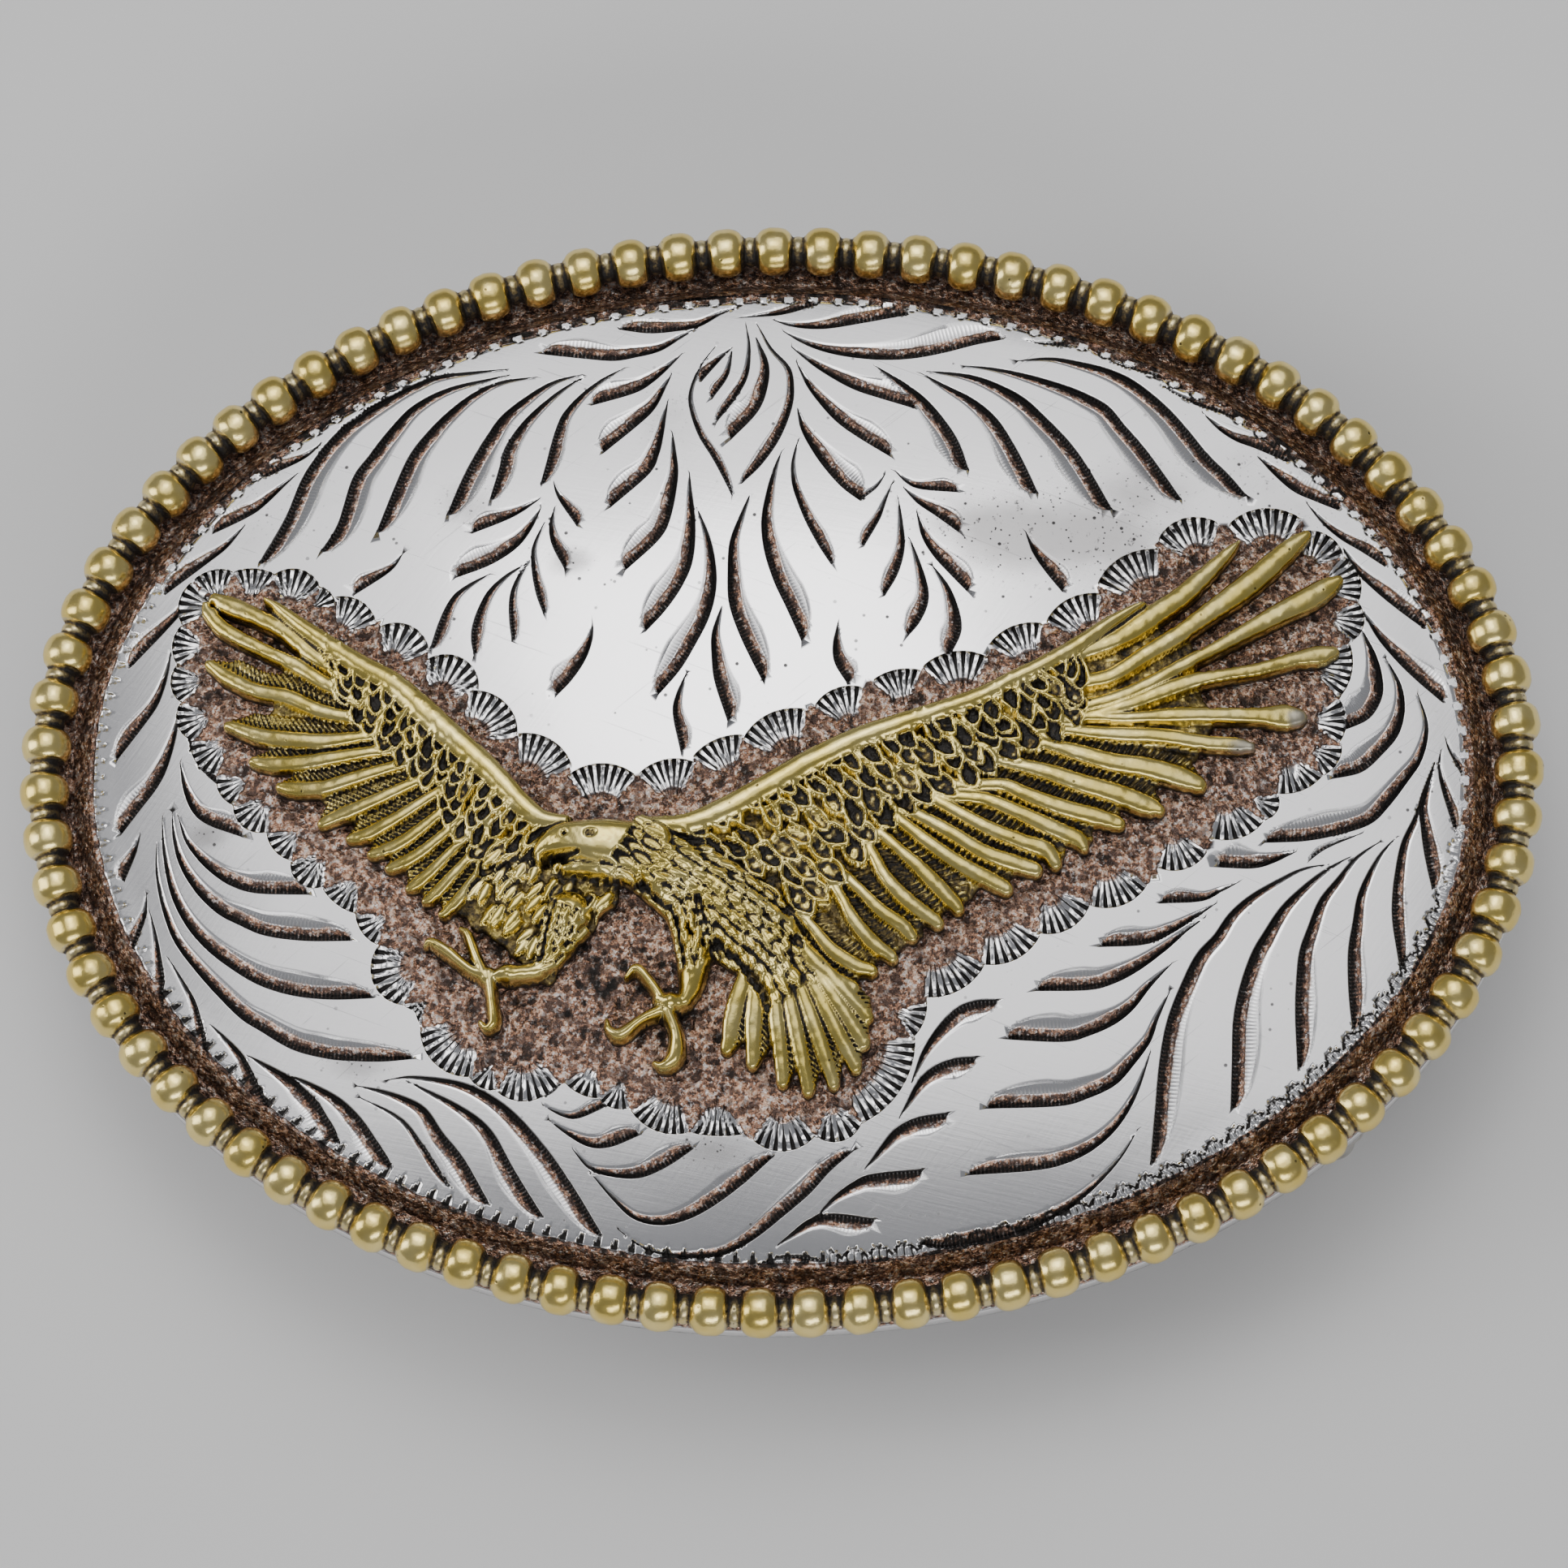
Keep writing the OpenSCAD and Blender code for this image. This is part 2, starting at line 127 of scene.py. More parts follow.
class ShaderKit:
    """Builds one material's nodes round a Principled shader."""

    def __init__(self, name: str) -> None:
        """Makes an empty node material with the given name.

        Args:
            name: The material's name.
        """
        self.material = bpy.data.materials.new(name)
        self.material.use_nodes = True
        self.tree = self.material.node_tree
        self.tree.nodes.clear()
        self.out = self.tree.nodes.new("ShaderNodeOutputMaterial")
        self.shader = self.tree.nodes.new("ShaderNodeBsdfPrincipled")
        self.tree.links.new(self.shader.outputs[0], self.out.inputs[0])
        coords = self.tree.nodes.new("ShaderNodeTexCoord")
        to_mm = {0: coords.outputs["Object"], "Scale": 1 / MM}
        self.place = self.node("ShaderNodeVectorMath", {"operation": "SCALE"}, to_mm).outputs[0]

    def node(self, kind: str, settings: dict[str, Any], inputs: dict[Any, Any]) -> bpy.types.Node:
        """Adds a node.

        Args:
            kind: The node's type.
            settings: Its properties, set before its sockets.
            inputs: Values, sockets or wires by socket name or number.

        Returns:
            The new node.
        """
        made = self.tree.nodes.new(kind)
        for key, value in settings.items():
            setattr(made, key, value)
        for key, value in inputs.items():
            self.feed(made.inputs[key], value)
        return made

    def feed(self, socket: bpy.types.NodeSocket, value: Any) -> None:
        """Links or sets a socket.

        Args:
            socket: The input.
            value: A wire, an output socket, or a plain value.
        """
        if isinstance(value, Wire):
            value = value.socket
        if isinstance(value, bpy.types.NodeSocket):
            self.tree.links.new(value, socket)
        elif isinstance(value, tuple) and len(value) == 3 and socket.type == "RGBA":
            socket.default_value = (*value, 1.0)
        else:
            socket.default_value = value

    def mask(self, name: str) -> Wire:
        """The mesh's own attribute of that name."""
        settings = {"attribute_type": "GEOMETRY", "attribute_name": name}
        return Wire(self, self.node("ShaderNodeAttribute", settings, {}).outputs["Fac"])

    def noise(self, scale: float, detail: float = 2.0, rough: float = 0.5, at: Any = None) -> Wire:
        """Cloudy noise.

        Args:
            scale: Features per millimetre.
            detail: Octaves.
            rough: Share that each octave keeps.
            at: Coordinates, where not the object's own.

        Returns:
            The noise, about 0 to 1.
        """
        inputs = {"Vector": at or self.place, "Scale": scale, "Detail": detail, "Roughness": rough}
        return Wire(self, self.node("ShaderNodeTexNoise", {}, inputs).outputs[0])

    def stretched(self, x: float, y: float, z: float, turn: float = 0.0) -> bpy.types.NodeSocket:
        """The object's coordinates, turned about Z and scaled on each axis.

        Args:
            x: Scale along the turned X.
            y: Scale along the turned Y.
            z: Scale along Z.
            turn: Angle in degrees.

        Returns:
            The coordinates' socket.
        """
        turning = {"Vector": self.place, "Angle": math.radians(turn)}
        turned = self.node("ShaderNodeVectorRotate", {"rotation_type": "Z_AXIS"}, turning)
        scales = {0: turned.outputs[0], 1: (x, y, z)}
        return self.node("ShaderNodeVectorMath", {"operation": "MULTIPLY"}, scales).outputs[0]

    def specks(self, scale: float, size: float) -> Wire:
        """Small round specks, 1 inside and 0 outside, one in each cell of a scattered pattern.

        Args:
            scale: Cells per millimetre.
            size: Radius of a speck as a share of a cell.

        Returns:
            The mask.
        """
        cells = self.node("ShaderNodeTexVoronoi", {}, {"Vector": self.place, "Scale": scale})
        return Wire(self, cells.outputs["Distance"]).above(size, size * 0.55)

    def mix(self, share: Any, first: Any, second: Any) -> bpy.types.NodeSocket:
        """A colour between two.

        Args:
            share: How much of the second colour.
            first: The first colour.
            second: The second colour.

        Returns:
            The mixed colour's socket.
        """
        made = self.node("ShaderNodeMix", {"data_type": "RGBA"}, {0: share, 6: first, 7: second})
        return made.outputs[2]

    def bump(self, height: Wire, depth: float, normal: Any = None) -> bpy.types.NodeSocket:
        """A bumped normal.

        Args:
            height: The relief, 0 to 1.
            depth: Its depth in millimetres.
            normal: A normal to add it to.

        Returns:
            The normal's socket.
        """
        inputs: dict[Any, Any] = {"Height": height, "Distance": depth * MM, "Strength": 1.0}
        if normal is not None:
            inputs["Normal"] = normal
        return self.node("ShaderNodeBump", {}, inputs).outputs[0]


@dataclass(frozen=True)
class EngravedSilver:
    """Polished silver with sooty black cuts darkened by painted shade, copper-brown bloom, stains and fine
    scratches.
    """

    silver: tuple[float, float, float] = (0.80, 0.785, 0.79)
    soot_and_shade: tuple[float, float, float] = (0.010, 0.008, 0.007)
    brown: tuple[float, float, float] = (0.08, 0.038, 0.024)
    copper: tuple[float, float, float] = (0.42, 0.20, 0.11)
    pale: tuple[float, float, float] = (0.78, 0.52, 0.38)
    smoke: tuple[float, float, float] = (0.20, 0.185, 0.18)
    polish: float = 0.16
    chatter_pitch: float = 0.24

    def make(self, name: str) -> bpy.types.Material:
        """Builds the material.

        Args:
            name: The material's name.

        Returns:
            The material.
        """
        kit = ShaderKit(name)
        crumb = kit.noise(2.5, 3.0, 0.7)
        fine = kit.noise(7.0, 2.0, 0.6)
        cloud = kit.noise(0.16, 3.0, 0.6)
        stain = kit.mask("stain")
        chatter = (kit.mask("run") * (math.tau / self.chatter_pitch)).sine() * kit.mask("chatter")
        # The black mask is sooty tarnish with painted shade: dark walls of cuts and punches, hollows of the
        # ground, a painted shadow round the eagle's legs, and the band under the beads.
        soot_and_shade = (kit.mask("soot_and_shade") * 1.3 - crumb * 0.5 + 0.12).above(0.16, 0.72)
        bloom = kit.mask("copper")
        copper = (bloom * 1.25 + crumb * 0.9 - 0.8).above(0.15, 0.5)
        grit = (crumb * 0.95 + fine * 0.2 - kit.mask("soot_and_shade") * 0.16).above(0.45, 0.69)
        crust = kit.mix(grit.above(0.45, 0.95), self.copper, self.pale)
        rust = kit.mix(grit.above(0.0, 0.45), self.brown, crust)
        glint = (kit.noise(4.4, 2.0, 0.6) * 0.7 + crumb * 0.5).above(0.63, 0.72)
        rust = kit.mix(glint * 0.7, rust, self.silver)
        rust = kit.mix(kit.noise(1.15, 2.0, 0.65).above(0.47, 0.6) * 0.7, rust, self.brown)
        scratch = kit.noise(1.0, 2.0, 0.5, kit.stretched(0.07, 6.0, 1.0, 22.0)).above(0.69, 0.73)
        scratch = scratch + kit.noise(1.0, 2.0, 0.5, kit.stretched(6.5, 0.09, 1.0, 50.0)).above(0.7, 0.74)
        haze = (stain * 1.2 + cloud - 0.75).above(0.0, 0.8) * 0.6
        many = (kit.noise(0.3, 1.0) + stain * 0.6).above(0.45, 0.7)
        blots = kit.noise(1.5, 4.0, 0.75).above(0.6, 0.7) * stain.above(0.15, 0.6)
        dots = kit.specks(0.9, 0.13) * many + kit.specks(2.4, 0.2) * stain.above(0.12, 0.7)
        pits = (dots + blots * 0.8).clamp()
        colour = kit.mix(haze, self.silver, self.smoke)
        colour = kit.mix(copper * 0.95, colour, rust)
        dark = (soot_and_shade + pits * 0.85 + chatter * (crumb + 0.3) * 1.2 + scratch * 0.2).clamp()
        colour = kit.mix(dark, colour, self.soot_and_shade)
        kit.feed(kit.shader.inputs["Base Color"], colour)
        kit.feed(kit.shader.inputs["Metallic"], 1.0 - dark * 0.5 - copper * 0.1)
        rough = self.polish + fine * 0.05 + haze * 0.22 + copper * 0.14 + dark * 0.35
        kit.feed(kit.shader.inputs["Roughness"], rough.clamp())
        along = kit.noise(1.0, 3.0, 0.6, kit.stretched(0.25, 5.0, 1.0, 12.0))
        across = kit.noise(1.0, 3.0, 0.6, kit.stretched(4.2, 0.3, 1.0, 35.0))
        relief = kit.bump(along + across, 0.0022)
        relief = kit.bump(chatter, 0.012, relief)
        relief = kit.bump(crumb * bloom.above(0.5, 0.85), 0.28, relief)
        kit.feed(kit.shader.inputs["Normal"], kit.bump(0.0 - soot_and_shade, 0.02, relief))
        return kit.material


@dataclass(frozen=True)
class WornGilt:
    """Yellow gilding with brown grimy tone and painted shade in its hollows, and greyed silver where the
    eagle has rubbed through and on each bead's lower half and ends.
    """

    gold: tuple[float, float, float] = (0.79, 0.60, 0.17)
    pale: tuple[float, float, float] = (0.90, 0.73, 0.30)
    grime_and_shade: tuple[float, float, float] = (0.012, 0.009, 0.007)
    brown: tuple[float, float, float] = (0.10, 0.068, 0.036)
    grey_patch: tuple[float, float, float] = (0.48, 0.45, 0.40)
    polish: float = 0.2
    dent: float = 0.012

    def make(self, name: str) -> bpy.types.Material:
        """Builds the material.

        Args:
            name: The material's name.

        Returns:
            The material.
        """
        kit = ShaderKit(name)
        crumb = kit.noise(3.0, 3.0, 0.65)
        broad = kit.noise(0.5, 2.0, 0.5)
        recess = kit.mask("recess")
        # The recess mask paints shade with a grimy tone in the hollows, near black in the deepest.
        grime_and_shade = (recess * 1.3 + crumb * 0.7 - 0.43).above(0.1, 0.5)
        deep = (recess * 1.2 + crumb * 1.3 - 0.72).above(0.35, 0.75)
        grey_patch = (kit.mask("grey_patch") + crumb * 0.5 - 0.3).above(0.25, 0.75)
        pits = kit.specks(1.1, 0.13) * kit.noise(0.6, 1.0).above(0.5, 0.62)
        colour = kit.mix(broad.above(0.35, 0.7), self.gold, self.pale)
        colour = kit.mix(grey_patch * 0.85, colour, self.grey_patch)
        colour = kit.mix(grime_and_shade * 0.9, colour, self.brown)
        colour = kit.mix((deep + pits * 0.8).clamp(), colour, self.grime_and_shade)
        kit.feed(kit.shader.inputs["Base Color"], colour)
        kit.feed(kit.shader.inputs["Metallic"], 1.0 - deep * 0.6)
        rough = self.polish + grime_and_shade * 0.22 + grey_patch * 0.12 + crumb * 0.08
        kit.feed(kit.shader.inputs["Roughness"], rough.clamp())
        relief = kit.bump(kit.noise(0.9, 2.0, 0.5), self.dent * 3)
        relief = kit.bump(kit.noise(4.0, 2.0, 0.6) * recess.above(0.1, 0.5), 0.09, relief)
        kit.feed(kit.shader.inputs["Normal"], kit.bump(crumb - pits, self.dent, relief))
        return kit.material


@dataclass(frozen=True)
class SatinNickel:
    """Satin nickel silver wire with draw lines and a little tarnish."""

    metal: tuple[float, float, float] = (0.56, 0.54, 0.51)
    tarnish: tuple[float, float, float] = (0.26, 0.22, 0.17)
    pit: tuple[float, float, float] = (0.08, 0.06, 0.05)

    def make(self, name: str) -> bpy.types.Material:
        """Builds the material.

        Args:
            name: The material's name.

        Returns:
            The material.
        """
        kit = ShaderKit(name)
        cloud = kit.noise(0.3, 4.0, 0.6)
        line = kit.noise(1.0, 2.0, 0.5, kit.stretched(6.0, 0.5, 6.0))
        dull = cloud.above(0.48, 0.72)
        colour = kit.mix(dull * 0.7, self.metal, self.tarnish)
        colour = kit.mix(kit.specks(0.9, 0.12) * 0.7, colour, self.pit)
        kit.feed(kit.shader.inputs["Base Color"], colour)
        kit.feed(kit.shader.inputs["Roughness"], (0.3 + line * 0.14 + dull * 0.2).clamp())
        kit.shader.inputs["Metallic"].default_value = 1.0
        kit.feed(kit.shader.inputs["Normal"], kit.bump(line, 0.02))
        return kit.material


@dataclass(frozen=True)
class PaleFloor:
    """A plain pale floor."""

    tone: tuple[float, float, float] = (0.80, 0.79, 0.78)
    shade: tuple[float, float, float] = (0.6, 0.6, 0.6)

    def make(self, name: str) -> bpy.types.Material:
        """Builds the material.

        Args:
            name: The material's name.

        Returns:
            The material.
        """
        kit = ShaderKit(name)
        mottle = kit.noise(0.02, 2.0, 0.5)
        kit.feed(kit.shader.inputs["Base Color"], kit.mix(mottle * 0.06, self.tone, self.shade))
        kit.shader.inputs["Roughness"].default_value = 0.7
        return kit.material


# Mesh kit


def make_piece(
    name: str,
    points: Array,
    faces: list[Array],
    material: bpy.types.Material,
    node: str,
    masks: dict[str, Array],
    normals: Array | None = None,
) -> bpy.types.Object:
    """Makes one dressed piece and ties it to the frame.

    Args:
        name: The piece's name.
        points: Its vertices in millimetres.
        faces: Arrays of corner numbers, one row a face.
        material: Its material.
        node: The CAD node that it stands for.
        masks: Values a vertex for the material to read.
        normals: A normal a vertex, where the faces' own aren't used.

    Returns:
        The piece.
    """
    mesh = bpy.data.meshes.new(name)
    corners = np.concatenate([f.ravel() for f in faces]).astype(np.int32)
    sizes = np.concatenate([np.full(len(f), f.shape[1]) for f in faces])
    starts = np.concatenate([[0], np.cumsum(sizes)[:-1]]).astype(np.int32)
    mesh.vertices.add(len(points))
    mesh.vertices.foreach_set("co", (points * MM).astype(np.float32).ravel())
    mesh.loops.add(len(corners))
    mesh.loops.foreach_set("vertex_index", corners)
    mesh.polygons.add(len(sizes))
    mesh.polygons.foreach_set("loop_start", starts)
    mesh.update(calc_edges=True)
    mesh.validate()
    mesh.polygons.foreach_set("use_smooth", [True] * len(mesh.polygons))
    if normals is not None:
        mesh.normals_split_custom_set_from_vertices(normals.tolist())
    for key, values in masks.items():
        made = mesh.attributes.new(key, "FLOAT", "POINT")
        made.data.foreach_set("value", values.astype(np.float32))
    mesh.materials.append(material)
    piece = bpy.data.objects.new(name, mesh)
    bpy.context.scene.collection.objects.link(piece)
    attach(piece, "root")
    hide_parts(node)
    triangles = int((sizes - 2).sum())
    log.info("%s: %d vertices, %d triangles", name, len(points), triangles)
    return piece


def smooth_step(value: Array, low: float, high: float) -> Array:
    """A smooth step of an array from 0 at low to 1 at high."""
    t = np.clip((value - low) / (high - low), 0, 1)
    return t * t * (3 - 2 * t)


def rounded_path(points: Array, step: float) -> tuple[Array, Array]:
    """Runs a smooth curve through some points.

    Args:
        points: The points, one a row, with any further columns.
        step: About how far apart the curve's points lie, in millimetres.

    Returns:
        The curve's rows, evenly spaced, and the way walked to each.
    """
    p = np.asarray(points, float)
    ext = np.vstack([2 * p[0] - p[1], p, 2 * p[-1] - p[-2]])
    t = np.linspace(0, 1, 12, endpoint=False)[:, None]
    parts = []
    for i in range(len(p) - 1):
        # A smooth cubic piece through the two middle ones of four points
        a, b, c, d = ext[i : i + 4]
        square, cube = 2 * a - 5 * b + 4 * c - d, 3 * b - a - 3 * c + d
        parts.append(0.5 * (2 * b + (c - a) * t + square * t**2 + cube * t**3))
    dense = np.vstack([*parts, p[-1:]])
    walk = np.concatenate([[0], np.cumsum(np.linalg.norm(np.diff(dense[:, :2], axis=0), axis=1))])
    count = max(int(math.ceil(walk[-1] / step)), 4) + 1
    even = np.linspace(0, walk[-1], count)
    return np.column_stack([np.interp(even, walk, dense[:, k]) for k in range(p.shape[1])]), even


def sides_of(curve: Array) -> tuple[Array, Array]:
    """Unit directions along a curve and to its left, a row a point.

    Args:
        curve: The curve's rows, x and y first.

    Returns:
        Directions along, and directions to the left.
    """
    along = np.gradient(curve[:, :2], axis=0)
    along /= np.maximum(np.linalg.norm(along, axis=1), 1e-9)[:, None]
    return along, np.column_stack([-along[:, 1], along[:, 0]])


def unit(way: Array) -> Array:
    """A direction at length 1."""
    return way / np.linalg.norm(way)


def within(ring: Array, x: Array, y: Array) -> Array:
    """Whether places lie inside a closed ring of points.

    Args:
        ring: The ring's points, one a row.
        x: Places along X.
        y: Places along Y.

    Returns:
        True where they do.
    """
    hit = np.zeros(x.shape, bool)
    for (x1, y1), (x2, y2) in zip(ring, np.roll(ring, -1, axis=0)):
        if y1 != y2:
            spans = (y1 > y) != (y2 > y)
            hit ^= spans & (x < (x2 - x1) * (y - y1) / (y2 - y1) + x1)
    return hit


class Grain:
    """Seeded value noise over the plane, the same on every run."""

    lattice = 256
    origin = (77.3, 31.7)

    def __init__(self, seed: int) -> None:
        """Draws the lattice."""
        self.values = np.random.default_rng(seed).random((self.lattice, self.lattice))

    def at(self, x: Array, y: Array, size: float) -> Array:
        """Noise from -1 to 1.

        Args:
            x: Places along X, in millimetres.
            y: Places along Y.
            size: Size of a feature, in millimetres.

        Returns:
            A value a place.
        """
        u, v = np.asarray(x) / size + self.origin[0], np.asarray(y) / size + self.origin[1]
        i, j = np.floor(u).astype(int), np.floor(v).astype(int)
        f, g = u - i, v - j
        f, g = f * f * (3 - 2 * f), g * g * (3 - 2 * g)
        ni, nj = (i + 1) % self.lattice, (j + 1) % self.lattice
        i, j = i % self.lattice, j % self.lattice
        low = self.values[i, j] * (1 - f) + self.values[ni, j] * f
        high = self.values[i, nj] * (1 - f) + self.values[ni, nj] * f
        return 2 * (low * (1 - g) + high * g) - 1


@dataclass(frozen=True)
class Form:
    """The buckle's shared sizes in millimetres, as the part's source has them."""

    rim_a: float = 44.5
    rim_b: float = 33.5
    flange_a: float = 45.4
    flange_b: float = 34.4
    dome_a: float = 41.8
    dome_b: float = 30.8
    flange_low: float = 9.0
    flange_top: float = 10.5
    bead_z: float = 11.7
    dome_h: float = 3.6
    sheet_t: float = 1.5

    @property
    def cap_r(self) -> float:
        """Radius of the dome's cap along its length."""
        return (self.dome_a**2 + self.dome_h**2) / (2 * self.dome_h)

    @property
    def cap_z(self) -> float:
        """Height of the cap's centre."""
        return self.bead_z + self.dome_h - self.cap_r

    def dome_z(self, x: Array, y: Array) -> Array:
        """Height of the domed face at some places."""
        k = self.dome_b / self.dome_a
        return self.cap_z + np.sqrt(self.cap_r**2 - x**2 - (y / k) ** 2)


FORM = Form()


class Oval:
    """Arc lengths round an oval, against the angle parameter."""

    steps = 2880

    def __init__(self, a: float, b: float) -> None:
        """Walks once round the oval.

        Args:
            a: Half its length.
            b: Half its width.
        """
        self.a, self.b = a, b
        self.turn = np.linspace(0, math.tau, self.steps + 1)
        x, y = a * np.cos(self.turn), b * np.sin(self.turn)
        self.walk = np.concatenate([[0], np.cumsum(np.hypot(np.diff(x), np.diff(y)))])

    @property
    def length(self) -> float:
        """The way once round."""
        return float(self.walk[-1])

    def place(self, walked: Array) -> tuple[Array, Array]:
        """X and Y after some way walked from the right-hand end."""
        t = np.interp(np.asarray(walked) % self.length, self.walk, self.turn)
        return self.a * np.cos(t), self.b * np.sin(t)

    def inward(self, x: Array, y: Array) -> tuple[Array, Array]:
        """How far inside the oval places lie, and the way walked beside them.

        Args:
            x: Places along X, near the oval.
            y: Places along Y.

        Returns:
            Distances, positive inside, and ways walked.
        """
        rho = np.maximum(np.hypot(x / self.a, y / self.b), 1e-6)
        slope = np.maximum(np.hypot(x / self.a**2, y / self.b**2), 1e-9)
        turn = np.arctan2(y / self.b, x / self.a) % math.tau
        return (1 - rho) * rho / slope, np.interp(turn, self.turn, self.walk)


# Leaf cuts


@dataclass(frozen=True)
class LeafCut:
    """One slanted cut of the graver, deep along one edge and run out along the other."""

    width: float
    side: float
    path: tuple[float, ...]
    chatter: float = 0.35

    def curve(self, step: float) -> tuple[Array, Array]:
        """The deep edge as a smooth curve and the way walked along it."""
        return rounded_path(np.array(self.path).reshape(-1, 2), step)

    def breadth(self, u: Array) -> Array:
        """Width of the cut at shares of its length.

        Args:
            u: Shares of the length, from 0 to 1.

        Returns:
            A width a share.
        """
        rise = np.clip(u / 0.74, 0, 1) ** 0.85
        fall = np.sqrt(np.clip(1 - ((np.clip(u, 0.74, 1) - 0.74) / 0.26) ** 2, 0, 1))
        return np.maximum(self.width * np.where(u < 0.74, rise, fall), 0.07)

    def depth(self, u: Array, length: float) -> Array:
        """Depth of the deep edge at shares of its length."""
        full = 0.08 + 0.24 * self.width
        return full * np.clip(u / 0.5, 0, 1) ** 0.7 * np.sqrt(np.clip((1 - u) * length / 0.3, 0, 1))


